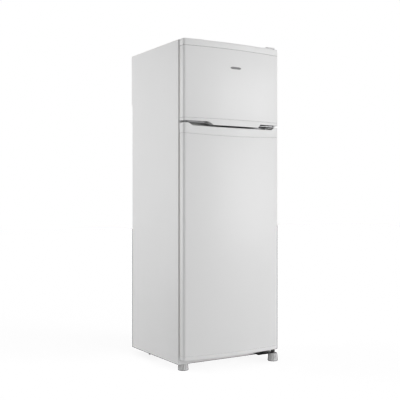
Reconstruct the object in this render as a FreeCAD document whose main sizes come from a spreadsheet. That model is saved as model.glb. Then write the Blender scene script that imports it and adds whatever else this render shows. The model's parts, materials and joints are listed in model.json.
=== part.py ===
"""Top freezer refrigerator: a slim free-standing cabinet with a small freezer door over a tall fridge door.

Frame: +Z up, the doors face -Y, the hinges are on the +X side. The origin is on the floor, under the
middle of the whole object's box. All lengths are in millimetres.
"""
import FreeCAD, Part
import math
import os
import Sketcher

DIMENSIONS = {
    # cabinet
    "cabinet_width": 550, "cabinet_height": 1530, "cabinet_depth": 486.5, "floor_gap": 30,
    "rear_step_depth": 8, "rear_step_height": 267, "rear_step_rise": 14, "condenser_space": 42,
    "sheet_wall": 0.8, "liner_wall": 1.5, "front_return": 16, "cavity_round": 16,
    # insulation between the outside and the cavities
    "freezer_side_foam": 46, "freezer_top_foam": 45, "freezer_rear_foam": 48,
    "fridge_side_foam": 38, "fridge_rear_foam": 42, "fridge_floor_foam": 58, "rail_foam": 8,
    # compressor recess
    "recess_depth": 189, "recess_height": 235, "recess_kick": 90, "recess_slope": 50, "hump_foam": 30,
    "kick_foam": 10,
    # doors
    "gasket_gap": 12, "door_edge": 37.5, "door_bow": 22, "corner_radius": 14, "door_top_gap": 2,
    "freezer_door_height": 399, "door_split": 9, "door_bottom_rise": 24.6,
    "top_cap_height": 31.5, "grip_cap_height": 31, "ledge_cap_height": 32, "bottom_cap_height": 20,
    "door_wall": 1.0, "cap_wall": 2.5, "dyke_inset": 65, "dyke_width": 25, "dyke_depth": 40,
    "dyke_margin": 45, "scoop_rise": 17, "left_scoop_end": 125, "left_scoop_slope": 33,
    "right_scoop_length": 135, "right_scoop_slope": 15, "horn_rise": 16, "horn_width": 26, "horn_slope": 19,
    # hinges
    "hinge_inboard": 30, "hinge_ahead": 45, "pin_radius": 4, "pin_clearance": 0.08, "hinge_plate": 3,
    "hinge_plate_gap": 2, "hinge_reach": 6.5, "hinge_flange_width": 75, "hinge_left": 107, "pin_depth": 10,
    "pin_end_gap": 1.5, "pin_root": 2, "boss_radius": 10, "boss_run": 60, "boss_wall": 3,
    "bracket_height": 38,
    "top_plate": 2.5, "top_plate_run": 60, "top_plate_left": 40, "cover_wall": 1.5, "cover_height": 6,
    "cover_margin": 2.5, "flange_drop": 24, "flange_height": 24, "screw_radius": 2.2, "screw_head": 4.6,
    "screw_head_height": 2.2, "top_head_height": 1.6, "screw_length": 14, "screw_inset": 16,
    "screw_pitch": 42, "bottom_screw_rise": 14.4, "top_screw_left": 25, "top_screw_pitch": 22,
    "top_screw_back": 34, "rail_below": 20, "rail_above": 27,
    # gaskets
    "gasket_width": 16, "gasket_left": 8, "gasket_right": 25, "gasket_end": 9, "gasket_clearance": 0.4,
    "gasket_rail_lap": 5, "gasket_low_gap": 13,
    # feet and rollers
    "left_foot_inboard": 37, "left_foot_behind": 18, "foot_radius": 25, "foot_taper": 3, "foot_crown": 0.6,
    "foot_edge": 2, "foot_rim": 3, "stud_gap": 1, "stud_radius": 4.92, "stud_clearance": 0.08,
    "stud_sink": 14, "stud_top": 48, "nut_radius": 9, "nut_top": 52,
    "rail_web": 2.5, "rail_height": 50, "rail_depth": 46,
    "roller_radius": 14, "roller_chamfer": 2, "roller_width": 16, "roller_spread": 170,
    "roller_from_rear": 45,
    "axle_radius": 3, "axle_clearance": 0.08, "ear_wall": 2, "ear_gap": 0.8, "ear_half": 9,
    "ear_drop": 7,
    # machine compartment
    "base_wall": 2, "base_lip": 6, "base_setback": 1, "compressor_radius": 68,
    "compressor_height": 158, "compressor_wall": 3,
    "compressor_from_rear": 85, "grommet_height": 14, "grommet_radius": 11, "mount_length": 200,
    "mount_width": 116, "mount_wall": 3, "grommet_inset": 16, "motor_radius": 46, "motor_height": 90,
    "motor_stand": 18, "dome_height": 34, "dome_radius": 42, "relay_width": 34, "relay_depth": 56,
    "relay_height": 58, "relay_rise": 62, "gland_radius": 8, "gland_bore": 3.6, "gland_length": 12,
    "tray_length": 220, "tray_width": 124, "tray_height": 24, "tray_wall": 2, "tray_gap": 5,
    "drain_radius": 7, "drain_bore": 5, "drain_from_rear": 70, "drain_drop": 16,
    # condenser
    "coil_tube": 2.5, "coil_bend": 35, "coil_half_run": 190, "coil_low_gap": 55, "coil_top_gap": 100,
    "wire_radius": 0.8, "wire_pitch": 20, "wire_count": 19, "wire_overrun": 24, "bracket_width": 12,
    "bracket_tall": 26, "bracket_x": 150, "drier_radius": 9, "drier_length": 110,
    # tubes outside the foam
    "port_rise": 71, "pipe_bend": 12.5, "pipe_off": 14, "pipe_side": 50, "pipe_over": 40, "pipe_end": 25,
    "drier_drop": 40, "drier_inlet_drop": 65, "capillary_radius": 1, "capillary_run": 40,
    "suction_side": 40, "suction_drop": 380, "suction_rise": 25, "suction_sink": 6,
    # evaporators
    "evaporator_wall": 1.5, "evaporator_margin": 30, "fridge_evaporator_tall": 420,
    # shelves
    "shelf_glass": 4, "shelf_front": 92, "shelf_side_gap": 2, "rib_width": 10, "rib_height": 7,
    "rib_front_gap": 12, "crisper_shelf_gap": 23, "top_shelf_drop": 234, "shelf_count": 4, "trim_depth": 12,
    "trim_height": 15, "trim_lap": 3, "freezer_shelf_rise": 160, "freezer_shelf_wall": 3,
    "freezer_shelf_front": 78,
    # crisper drawer
    "drawer_front": 110, "drawer_side_gap": 39, "drawer_wall": 2.5, "drawer_front_wall": 4,
    "drawer_floor_gap": 1.5, "drawer_top_gap": 16.5, "guide_gap": 1, "guide_height": 24,
    "drawer_rear_gap": 14, "drawer_lip": 13, "drawer_lip_half": 70, "drawer_lip_height": 12,
    "drawer_lip_drop": 9,
    # door bins
    "bin_side_gap": 0.5, "bin_back": 87, "bin_wall": 2, "bin_height": 78, "bin_gap": 0.6, "lug_width": 12,
    "lug_height": 6, "lug_depth": 30, "lug_gap": 2, "bottle_bin_rise": 60, "upper_bin_drop": 283,
    "freezer_bin_rise": 70, "freezer_bin_back": 72, "bottle_bin_extra": 22,
    # control housing
    "housing_depth": 40, "housing_drop": 157, "housing_height": 78, "housing_start": 58,
    "housing_length": 290, "housing_round": 5, "lamp_start": 60, "lamp_length": 96, "lamp_height": 60,
    "lamp_recess": 30, "lamp_cover_wall": 2, "lamp_cover_rise": 8, "bulb_radius": 11, "bulb_length": 46,
    "bulb_neck": 6.5, "knob_from_front": 245, "knob_radius": 19, "knob_height": 14, "knob_gap": 1,
    "spindle_radius": 3, "spindle_length": 16, "knob_grip_width": 7, "plunger_radius": 3.5,
    "plunger_sink": 26, "plunger_gap": 0.4, "plunger_inset": 8.5,
    # freezer grip
    "grip_start": 16, "grip_length": 104, "grip_depth": 34, "grip_ahead": 1.3, "grip_height": 9,
    "grip_wall": 2,
}


class Size:
    """A length bound to the sheet: it holds its expression and its present value."""

    def __init__(self, text, value):
        self.text = text
        self.value = value

    def _join(self, sign, other, value):
        return Size(f"({self.text} {sign} {other.text})", value)

    def __add__(self, other):
        other = size_of(other)
        return self._join("+", other, self.value + other.value)

    def __sub__(self, other):
        other = size_of(other)
        return self._join("-", other, self.value - other.value)

    def __mul__(self, other):
        other = size_of(other)
        return self._join("*", other, self.value * other.value)

    def __truediv__(self, other):
        other = size_of(other)
        return self._join("/", other, self.value / other.value)

    def __neg__(self):
        return Size(f"(0 - {self.text})", -self.value)

    def __radd__(self, other):
        return size_of(other) + self

    def __rsub__(self, other):
        return size_of(other) - self

    def __rmul__(self, other):
        return size_of(other) * self


def size_of(thing):
    """A Size as it is, or a plain number as a Size."""
    if isinstance(thing, Size):
        return thing
    return Size(f"{thing}", float(thing))


def root(size):
    """The square root of a Size."""
    return Size(f"sqrt({size.text})", math.sqrt(size.value))


class Sheet:
    """The spreadsheet of driving dimensions, read as attributes."""

    def __init__(self, doc, dimensions):
        sheet = doc.addObject("Spreadsheet::Sheet", "Dims")
        for row, (alias, value) in enumerate(dimensions.items(), start=1):
            sheet.set(f"A{row}", alias)
            sheet.set(f"B{row}", str(value))
            sheet.setAlias(f"B{row}", alias)
        doc.recompute()

    def __getattr__(self, alias):
        return Size(f"Dims.{alias}", float(DIMENSIONS[alias]))


doc = FreeCAD.newDocument("refrigerator")
dims = Sheet(doc, DIMENSIONS)
finished = {}
OVERCUT = 1
PLANES = {"XY": "XY_Plane", "XZ": "XZ_Plane", "YZ": "YZ_Plane"}
AXIS_TURN = {
    "X": FreeCAD.Rotation(FreeCAD.Vector(0, 1, 0), 90),
    "Y": FreeCAD.Rotation(FreeCAD.Vector(1, 0, 0), -90),
    "Z": FreeCAD.Rotation(),
}


# ---------------------------------------------------------------- general helpers
def bind(thing, **sizes):
    for name, size in sizes.items():
        thing.setExpression(name, size_of(size).text)


def move_to(thing, x, y, z):
    for axis, size in zip("xyz", (x, y, z)):
        thing.setExpression(f"Placement.Base.{axis}", size_of(size).text)
    return thing


def finish(name, thing):
    """Names a finished sub-part: its Label is its file's name."""
    thing.Label = name
    finished[name] = thing
    return thing


def block(name, x, y, z):
    """A rectangular block between two limits along each axis."""
    box = doc.addObject("Part::Box", name)
    bind(box, Length=x[1] - x[0], Width=y[1] - y[0], Height=z[1] - z[0])
    return move_to(box, x[0], y[0], z[0])


def rod(name, axis, start, length, radius):
    """A round rod that runs from start along an axis."""
    cylinder = doc.addObject("Part::Cylinder", name)
    cylinder.Placement = FreeCAD.Placement(FreeCAD.Vector(), AXIS_TURN[axis])
    bind(cylinder, Radius=radius, Height=length)
    return move_to(cylinder, *start)


def fuse(name, *things):
    union = doc.addObject("Part::MultiFuse", name)
    union.Shapes = list(things)
    union.Refine = True
    return union


def group(name, *things):
    """Separate solids that share one node."""
    compound = doc.addObject("Part::Compound", name)
    compound.Links = list(things)
    return compound


def cut(name, base, *tools):
    difference = doc.addObject("Part::Cut", name)
    difference.Base = base
    difference.Tool = tools[0] if len(tools) == 1 else fuse(name + "_tool", *tools)
    difference.Refine = True
    return difference


def sketch_on(body, plane, offset, corners):
    """A closed outline of straight edges, each corner held at its distance from the sketch's origin."""
    sketch = body.newObject("Sketcher::SketchObject", body.Name + "_outline")
    role = PLANES[plane]
    origin_plane = [item for item in body.Origin.OriginFeatures if item.Role == role][0]
    sketch.AttachmentSupport = (origin_plane, "")
    sketch.MapMode = "FlatFace"
    sketch.setExpression("AttachmentOffset.Base.z", size_of(offset).text)
    corners = [(size_of(a), size_of(b)) for a, b in corners]
    points = [FreeCAD.Vector(a.value, b.value, 0) for a, b in corners]
    count = len(points)
    sketch.addGeometry([Part.LineSegment(points[i], points[(i + 1) % count]) for i in range(count)])
    for i in range(count):
        sketch.addConstraint(Sketcher.Constraint("Coincident", i, 2, (i + 1) % count, 1))
    for i, (across, up) in enumerate(corners):
        hold(sketch, "DistanceX", i, across)
        hold(sketch, "DistanceY", i, up)
    return sketch


def hold(sketch, kind, edge, size):
    """Holds an edge's start point at a distance from the sketch's origin, bound to the sheet."""
    index = sketch.addConstraint(Sketcher.Constraint(kind, -1, 1, edge, 1, size.value))
    sketch.setExpression(f"Constraints[{index}]", size.text)


def side_of(plane, limits):
    """Offset of a pad's sketch and of a pocket's sketch along the plane's normal, for two limits."""
    if plane == "XZ":
        return -limits[1], -limits[0]
    return limits[0], limits[1]


def pad(name, plane, corners, limits):
    """A body padded from one outline between two limits across its plane."""
    body = doc.addObject("PartDesign::Body", name)
    limits = (size_of(limits[0]), size_of(limits[1]))
    feature = body.newObject("PartDesign::Pad", name + "_pad")
    feature.Profile = sketch_on(body, plane, side_of(plane, limits)[0], corners)
    bind(feature, Length=limits[1] - limits[0])
    body.Tip = feature
    return body


def pocket(body, plane, corners, limits):
    """Cuts an outline out of a body, between two limits across the plane."""
    limits = (size_of(limits[0]), size_of(limits[1]))
    feature = body.newObject("PartDesign::Pocket", body.Name + "_pocket")
    feature.Profile = sketch_on(body, plane, side_of(plane, limits)[1], corners)
    bind(feature, Length=limits[1] - limits[0])
    body.Tip = feature
    return feature


def round_edges(body, radius, chosen):
    """Rounds the edges of the body's last feature that the function chosen picks by their middle."""
    doc.recompute()
    base = body.Tip
    names = []
    for index, edge in enumerate(base.Shape.Edges, start=1):
        middle = edge.valueAt((edge.FirstParameter + edge.LastParameter) / 2)
        if chosen(edge, middle):
            names.append(f"Edge{index}")
    fillet = body.newObject("PartDesign::Fillet", body.Name + "_fillet")
    fillet.Base = (base, names)
    bind(fillet, Radius=radius)
    body.Tip = fillet
    return body


def turned(name, profile, x, y, z):
    """A body revolved about its own vertical axis from an outline of (radius, height) points."""
    body = doc.addObject("PartDesign::Body", name)
    sketch = sketch_on(body, "XZ", 0, profile)
    feature = body.newObject("PartDesign::Revolution", name + "_revolution")
    feature.Profile = sketch
    feature.ReferenceAxis = (sketch, ["V_Axis"])
    feature.Angle = 360
    body.Tip = feature
    return move_to(body, x, y, z)


def rectangle(across, up):
    return [(across[0], up[0]), (across[1], up[0]), (across[1], up[1]), (across[0], up[1])]


def bent_tube(points, radius, bend):
    """A round tube along straight runs that tangent arcs join."""
    edges = []
    start = points[0]
    for before, corner, after in zip(points, points[1:], points[2:]):
        inward = (before - corner).normalize()
        outward = (after - corner).normalize()
        half_turn = (math.pi - inward.getAngle(outward)) / 2
        reach = bend * math.tan(half_turn)
        first = corner + inward * reach
        last = corner + outward * reach
        bisector = (inward + outward).normalize()
        middle = corner + bisector * (bend / math.cos(half_turn) - bend)
        edges.append(Part.LineSegment(start, first).toShape())
        edges.append(Part.Arc(first, middle, last).toShape())
        start = last
    edges.append(Part.LineSegment(start, points[-1]).toShape())
    path = Part.Wire(edges)
    ring = Part.Wire([Part.Circle(points[0], points[1] - points[0], radius).toShape()])
    return path.makePipeShell([ring], True, False)


def tube_part(name, shapes):
    """One node of tubes, which are swept by this script because they turn in all directions."""
    feature = doc.addObject("Part::Feature", name)
    feature.Shape = shapes[0] if len(shapes) == 1 else Part.makeCompound(shapes)
    feature.Placement = FreeCAD.Placement()
    return finish(name, feature)


# ---------------------------------------------------------------- positions worked out from the sheet
half_width = dims.cabinet_width / 2
bottom = dims.floor_gap
top = dims.floor_gap + dims.cabinet_height
door_reach = dims.gasket_gap + dims.door_edge + dims.door_bow
front = (door_reach - dims.cabinet_depth - dims.condenser_space) / 2
rear = front + dims.cabinet_depth
step_rear = rear + dims.rear_step_depth
step_z = top - dims.rear_step_height
door_back = front - dims.gasket_gap
door_corner = door_back - dims.door_edge
door_top = top - dims.door_top_gap
freezer_door_low = door_top - dims.freezer_door_height
fridge_door_high = freezer_door_low - dims.door_split
fridge_door_low = bottom + dims.door_bottom_rise
rail_low = fridge_door_high - dims.rail_below
rail_high = freezer_door_low + dims.rail_above
hinge_x = half_width - dims.hinge_inboard
hinge_y = front - dims.hinge_ahead
bow_radius = (half_width * half_width + dims.door_bow * dims.door_bow) / (2 * dims.door_bow)
bow_centre = door_corner - dims.door_bow + bow_radius

freezer_half = half_width - dims.freezer_side_foam
freezer_low = rail_high + dims.rail_foam
freezer_high = top - dims.freezer_top_foam
freezer_rear = rear - dims.freezer_rear_foam
fridge_half = half_width - dims.fridge_side_foam
fridge_low = bottom + dims.fridge_floor_foam
fridge_high = rail_low - dims.rail_foam
fridge_rear = rear - dims.fridge_rear_foam

recess_front = rear - dims.recess_depth
recess_kick_z = bottom + dims.recess_kick
recess_top = bottom + dims.recess_height
recess_back = recess_front + dims.recess_slope
hump_front = recess_front - dims.hump_foam
hump_kick_z = recess_kick_z + dims.kick_foam
hump_back = recess_back - dims.hump_foam
hump_top = recess_top + dims.hump_foam

return_half = half_width - dims.front_return
inner_half = half_width - dims.sheet_wall
rail_back = front + dims.rail_depth
rail_top = bottom + dims.rail_height

dyke_outer = half_width - dims.dyke_inset
dyke_inner = dyke_outer - dims.dyke_width
crisper_shelf = hump_top + dims.crisper_shelf_gap
shelf_pitch = (fridge_high - dims.top_shelf_drop - crisper_shelf) / (dims.shelf_count - 1)
coil_low = recess_top + dims.coil_low_gap
coil_rise = dims.coil_bend * 2
coil_room = (step_z - dims.coil_top_gap - coil_low).value
COIL_PASSES = 2 * int(coil_room / coil_rise.value / 2) + 1


# ---------------------------------------------------------------- cabinet body
def build_outer_shell():
    """Painted steel wrap: two sides and a top, returned at the front for the gaskets' magnets."""
    shell = pad("outer_shell", "YZ", [
        (front, bottom), (rear, bottom), (rear, step_z), (step_rear, step_z + dims.rear_step_rise),
        (step_rear, top), (front, top),
    ], (-half_width, half_width))
    inner = rectangle((front + dims.sheet_wall, step_rear + 1), (bottom - 1, top - dims.sheet_wall))
    pocket(shell, "YZ", inner, (-inner_half, inner_half))
    opening = rectangle((-return_half, return_half), (bottom - 1, top - dims.front_return))
    pocket(shell, "XZ", opening, (front - 1, front + dims.sheet_wall + 1))
    finish("outer_shell", shell)


def build_rear_panel():
    """Thin panel that closes the foam at the rear, stepped outwards near the top."""
    inner = rear - dims.sheet_wall
    step_inner = step_rear - dims.sheet_wall
    low = recess_top + dims.sheet_wall
    high = top - dims.sheet_wall
    panel = pad("rear_panel", "YZ", [
        (inner, low), (rear, low), (rear, step_z), (step_rear, step_z + dims.rear_step_rise),
        (step_rear, high), (step_inner, high), (step_inner, step_z + dims.rear_step_rise), (inner, step_z),
    ], (-inner_half, inner_half))
    finish("rear_panel", panel)


def build_floor_pan(drain):
    """Steel floor that climbs over the compressor recess."""
    wall = dims.sheet_wall
    pan = pad("floor_pan_sheet", "YZ", [
        (rail_back, bottom), (recess_front, bottom), (recess_front, recess_kick_z),
        (recess_back, recess_top), (rear, recess_top), (rear, recess_top + wall),
        (recess_back - wall, recess_top + wall), (recess_front - wall, recess_kick_z),
        (recess_front - wall, bottom + wall), (rail_back, bottom + wall),
    ], (-inner_half, inner_half))
    finish("floor_pan", cut("floor_pan", pan, drain))


def build_front_rails():
    """The flat rail between the doors and the channel below the fridge door, with the left foot's nut."""
    rail = pad("divider_rail", "XZ", rectangle((-return_half, return_half), (rail_low, rail_high)),
               (front, front + dims.liner_wall))
    finish("divider_rail", rail)
    wall = dims.liner_wall
    web_low = dims.bracket_height
    web_high = web_low + dims.rail_web
    channel = pad("bottom_channel", "YZ", [
        (front, bottom), (front + wall, bottom), (front + wall, web_low), (rail_back, web_low),
        (rail_back, rail_top), (rail_back - wall, rail_top), (rail_back - wall, web_high),
        (front + wall, web_high), (front + wall, rail_top), (front, rail_top),
    ], (-return_half, return_half))
    foot_x = -half_width + dims.left_foot_inboard
    foot_y = front + dims.left_foot_behind
    nut = rod("left_foot_nut", "Z", (foot_x, foot_y, web_low), dims.nut_top - web_low, dims.nut_radius)
    bore = rod("left_foot_bore", "Z", (foot_x, foot_y, web_low - 1), dims.nut_top - web_low + 2,
               dims.stud_radius + dims.stud_clearance)
    finish("bottom_rail", cut("bottom_rail", fuse("bottom_rail_with_nut", channel, nut), bore))


def fridge_profile(wall):
    """Side outline of the fridge cavity, grown by a wall: it steps up over the compressor recess."""
    return [
        (front, fridge_low - wall), (hump_front + wall, fridge_low - wall),
        (hump_front + wall, hump_kick_z), (hump_back + wall, hump_top - wall),
        (fridge_rear + wall, hump_top - wall), (fridge_rear + wall, fridge_high + wall),
        (front, fridge_high + wall),
    ]


def rounded_cavity(body):
    """Rounds every cavity edge that doesn't lie in the mouth."""
    mouth = front.value + 0.5

    def away_from_mouth(edge, middle):
        return middle.y > mouth and edge.Length > 1

    return round_edges(body, dims.cavity_round, away_from_mouth)


def shelf_level(index):
    """Underside of a fridge shelf; the lowest one covers the crisper."""
    return crisper_shelf + shelf_pitch * index


def rib_pair(name, half, y, underside):
    """Two moulded ribs that carry a shelf's ends."""
    z = (underside - dims.rib_height, underside)
    left = block(name + "_left", (-half - dims.liner_wall, -half + dims.rib_width), y, z)
    right = block(name + "_right", (half - dims.rib_width, half + dims.liner_wall), y, z)
    return [left, right]


def build_liners(drain):
    """The two vacuum-formed liners with their front flanges, shelf ribs and rounded corners."""
    wall = dims.liner_wall
    flange_y = (front, front + wall)
    outer = block("freezer_liner_outer", (-freezer_half - wall, freezer_half + wall),
                  (front, freezer_rear + wall), (freezer_low - wall, freezer_high + wall))
    flange = block("freezer_flange", (-return_half, return_half), flange_y,
                   (rail_high, top - dims.front_return))
    cavity = pad("freezer_cavity", "XZ",
                 rectangle((-freezer_half, freezer_half), (freezer_low, freezer_high)),
                 (front - 1, freezer_rear))
    shell = cut("freezer_liner_shell", fuse("freezer_liner_solid", outer, flange), rounded_cavity(cavity))
    ribs = rib_pair("freezer_rib", freezer_half,
                    (front + dims.freezer_shelf_front + dims.rib_front_gap, freezer_rear),
                    freezer_low + dims.freezer_shelf_rise)
    finish("freezer_liner", fuse("freezer_liner", shell, *ribs))

    outer = pad("fridge_liner_outer", "YZ", fridge_profile(wall), (-fridge_half - wall, fridge_half + wall))
    flange = block("fridge_flange", (-return_half, return_half), flange_y, (rail_top, rail_low))
    tool_profile = [(y - 1, z) if y is front else (y, z) for y, z in fridge_profile(size_of(0))]
    cavity = pad("fridge_cavity", "YZ", tool_profile, (-fridge_half, fridge_half))
    shell = cut("fridge_liner_shell", fuse("fridge_liner_solid", outer, flange), rounded_cavity(cavity),
                drain)
    ribs = []
    for index in range(DIMENSIONS["shelf_count"]):
        ribs += rib_pair(f"fridge_rib_{index}", fridge_half,
                         (front + dims.shelf_front + dims.rib_front_gap, fridge_rear), shelf_level(index))
    guide_x = fridge_half - dims.drawer_side_gap + dims.guide_gap
    guide_y = (front + dims.drawer_front, hump_front - dims.drawer_rear_gap)
    guide_z = (fridge_low - wall, fridge_low + dims.guide_height)
    guides = [
        block("crisper_guide_left", (-fridge_half - wall, -guide_x), guide_y, guide_z),
        block("crisper_guide_right", (guide_x, fridge_half + wall), guide_y, guide_z),
    ]
    finish("fridge_liner", fuse("fridge_liner", shell, *ribs, *guides))


def build_evaporators():
    """Flat roll-bonded aluminium plates behind the two liners' rear walls."""
    wall = dims.liner_wall
    margin = dims.evaporator_margin
    freezer_plate = block(
        "freezer_evaporator", (-freezer_half + margin, freezer_half - margin),
        (freezer_rear + wall, freezer_rear + wall + dims.evaporator_wall),
        (freezer_low + margin, freezer_high - margin))
    fridge_plate = block(
        "fridge_evaporator", (-fridge_half + margin, fridge_half - margin),
        (fridge_rear + wall, fridge_rear + wall + dims.evaporator_wall),
        (fridge_high - margin - dims.fridge_evaporator_tall, fridge_high - margin))
    return [finish("freezer_evaporator", freezer_plate), finish("fridge_evaporator", fridge_plate)]


def build_foam(drain, evaporators):
    """Foamed-in insulation between the outer steel and the liners."""
    wall = dims.sheet_wall
    skin = dims.liner_wall
    body = pad("cabinet_foam_block", "YZ", [
        (front + skin, rail_top), (rail_back, rail_top), (rail_back, bottom + wall),
        (recess_front - wall, bottom + wall), (recess_front - wall, recess_kick_z),
        (recess_back - wall, recess_top + wall), (rear - wall, recess_top + wall), (rear - wall, step_z),
        (step_rear - wall, step_z + dims.rear_step_rise), (step_rear - wall, top - wall),
        (front + skin, top - wall),
    ], (-inner_half, inner_half))
    freezer_hole = rectangle((front, freezer_rear + skin), (freezer_low - skin, freezer_high + skin))
    pocket(body, "YZ", freezer_hole, (-freezer_half - skin, freezer_half + skin))
    pocket(body, "YZ", fridge_profile(skin), (-fridge_half - skin, fridge_half + skin))
    finish("cabinet_foam", cut("cabinet_foam", body, drain, *evaporators))


# ---------------------------------------------------------------- machine compartment
def drain_place():
    return size_of(0), rear - dims.drain_from_rear


def build_drain():
    """Meltwater tube from the fridge's rear ledge down to the tray; returns the tool that clears it."""
    x, y = drain_place()
    low = recess_top - dims.drain_drop
    length = hump_top - low
    outer = rod("drain_outer", "Z", (x, y, low), length, dims.drain_radius)
    inner = rod("drain_inner", "Z", (x, y, low - 1), length + 2, dims.drain_bore)
    finish("drain_tube", cut("drain_tube", outer, inner))
    return rod("drain_clearance", "Z", (x, y, low), length + dims.cavity_round, dims.drain_radius)


def compressor_place():
    return size_of(0), rear - dims.compressor_from_rear


def grommet_places():
    x, y = compressor_place()
    along = dims.mount_length / 2 - dims.grommet_inset
    across = dims.mount_width / 2 - dims.grommet_inset
    return [(x + along * i, y + across * j) for i in (-1, 1) for j in (-1, 1)]


def build_base_plate():
    """Cross plate that carries the compressor and the rear rollers' axles."""
    wall = dims.base_wall
    front_y = recess_front + dims.base_setback
    plate = block("base_sheet", (-inner_half, inner_half), (front_y, rear), (bottom, bottom + wall))
    lip = block("base_lip", (-inner_half, inner_half), (front_y, front_y + dims.base_wall),
                (bottom - dims.base_lip, bottom))
    ears = []
    holes = []
    axle_y = rear - dims.roller_from_rear
    reach = dims.roller_width / 2 + dims.ear_gap
    for side in (-1, 1):
        centre = dims.roller_spread * side
        for hand in (-1, 1):
            face = centre + reach * hand
            inner, outer = (face, face + wall) if hand > 0 else (face - wall, face)
            ears.append(block(f"ear_{side}_{hand}", (inner, outer),
                              (axle_y - dims.ear_half, axle_y + dims.ear_half),
                              (dims.roller_radius - dims.ear_drop, bottom)))
        holes.append(rod(f"ear_hole_{side}", "X", (centre - reach * 2, axle_y, dims.roller_radius),
                         reach * 4, dims.axle_radius))
    finish("base_plate", cut("base_plate", fuse("base_solid", plate, lip, *ears), *holes))


def build_rollers():
    """Rear rollers on fixed axles."""
    axle_y = rear - dims.roller_from_rear
    reach = dims.roller_width / 2 + dims.ear_gap + dims.ear_wall
    half = dims.roller_width / 2
    axles = []
    for name, side in (("left", -1), ("right", 1)):
        centre = dims.roller_spread * side
        axles.append(rod(f"{name}_axle", "X", (centre - reach, axle_y, dims.roller_radius), reach * 2,
                         dims.axle_radius))
        bore = dims.axle_radius + dims.axle_clearance
        chamfer = dims.roller_chamfer
        edge = dims.roller_radius - chamfer
        wheel = turned(f"{name}_roller", [
            (bore, -half), (edge, -half), (dims.roller_radius, -half + chamfer),
            (dims.roller_radius, half - chamfer),
            (edge, half), (bore, half),
        ], centre, axle_y, dims.roller_radius)
        wheel.Placement = FreeCAD.Placement(wheel.Placement.Base, AXIS_TURN["X"])
        move_to(wheel, centre, axle_y, dims.roller_radius)
        finish(f"{name}_roller", wheel)
    finish("roller_axles", group("roller_axles", *axles))


def build_compressor():
    """Sealed steel shell with the motor and pump inside, on four rubber grommets."""
    x, y = compressor_place()
    wall = dims.compressor_wall
    foot_low = bottom + dims.base_wall + dims.grommet_height
    low = foot_low + dims.mount_wall
    radius = dims.compressor_radius
    high = dims.compressor_height
    dome = dims.dome_height
    outer = turned("compressor_outer", [
        (0, 0), (dims.dome_radius, 0), (radius, dome), (radius, high - dome), (dims.dome_radius, high),
        (0, high),
    ], x, y, low)
    inner = turned("compressor_inner", [
        (0, wall), (dims.dome_radius - wall, wall), (radius - wall, dome), (radius - wall, high - dome),
        (dims.dome_radius - wall, high - wall), (0, high - wall),
    ], x, y, low)
    mount = block("compressor_mount", (x - dims.mount_length / 2, x + dims.mount_length / 2),
                  (y - dims.mount_width / 2, y + dims.mount_width / 2), (foot_low, low))
    finish("compressor_shell", cut("compressor_shell", fuse("compressor_solid", outer, mount), inner))

    motor_low = low + wall
    stand = rod("motor_stand", "Z", (x, y, motor_low), dims.motor_stand, dims.dome_radius / 2)
    core = rod("motor_core", "Z", (x, y, motor_low + dims.motor_stand), dims.motor_height, dims.motor_radius)
    finish("compressor_motor", fuse("compressor_motor", stand, core))

    grommets = [
        rod(f"grommet_{index}", "Z", (gx, gy, bottom + dims.base_wall), dims.grommet_height,
            dims.grommet_radius)
        for index, (gx, gy) in enumerate(grommet_places())
    ]
    finish("compressor_grommets", group("compressor_grommets", *grommets))

    relay_x = x - radius - dims.relay_width
    relay_low = low + dims.relay_rise
    case = block("relay_case", (relay_x, x - radius), (y - dims.relay_depth / 2, y + dims.relay_depth / 2),
                 (relay_low - dims.relay_height / 2, relay_low + dims.relay_height / 2))
    gland_start = (relay_x + dims.relay_width / 2, y + dims.relay_depth / 2 - 1, relay_low)
    gland = rod("gland_outer", "Y", gland_start, dims.gland_length + 1, dims.gland_radius)
    bore = rod("gland_inner", "Y", gland_start, dims.gland_length + 2, dims.gland_bore)
    finish("relay_box", cut("relay_box", fuse("relay_solid", case, gland), bore))

    tray_low = low + high + dims.tray_gap
    tray_y = (y - dims.tray_width / 2, y + dims.tray_width / 2)
    tray_x = (x - dims.tray_length / 2, x + dims.tray_length / 2)
    tray = pad("drip_tray", "XY", rectangle(tray_x, tray_y), (tray_low, tray_low + dims.tray_height))
    pocket(tray, "XY", rectangle((tray_x[0] + dims.tray_wall, tray_x[1] - dims.tray_wall),
                                 (tray_y[0] + dims.tray_wall, tray_y[1] - dims.tray_wall)),
           (tray_low + dims.tray_wall, tray_low + dims.tray_height + 1))
    finish("drip_tray", tray)


def coil_level(index):
    return coil_low + coil_rise * index


def coil_plane():
    """Depth of the condenser tube's centre line, with its wires just inside the whole object's box."""
    return rear + dims.condenser_space - dims.coil_tube - dims.wire_radius * 2


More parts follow.
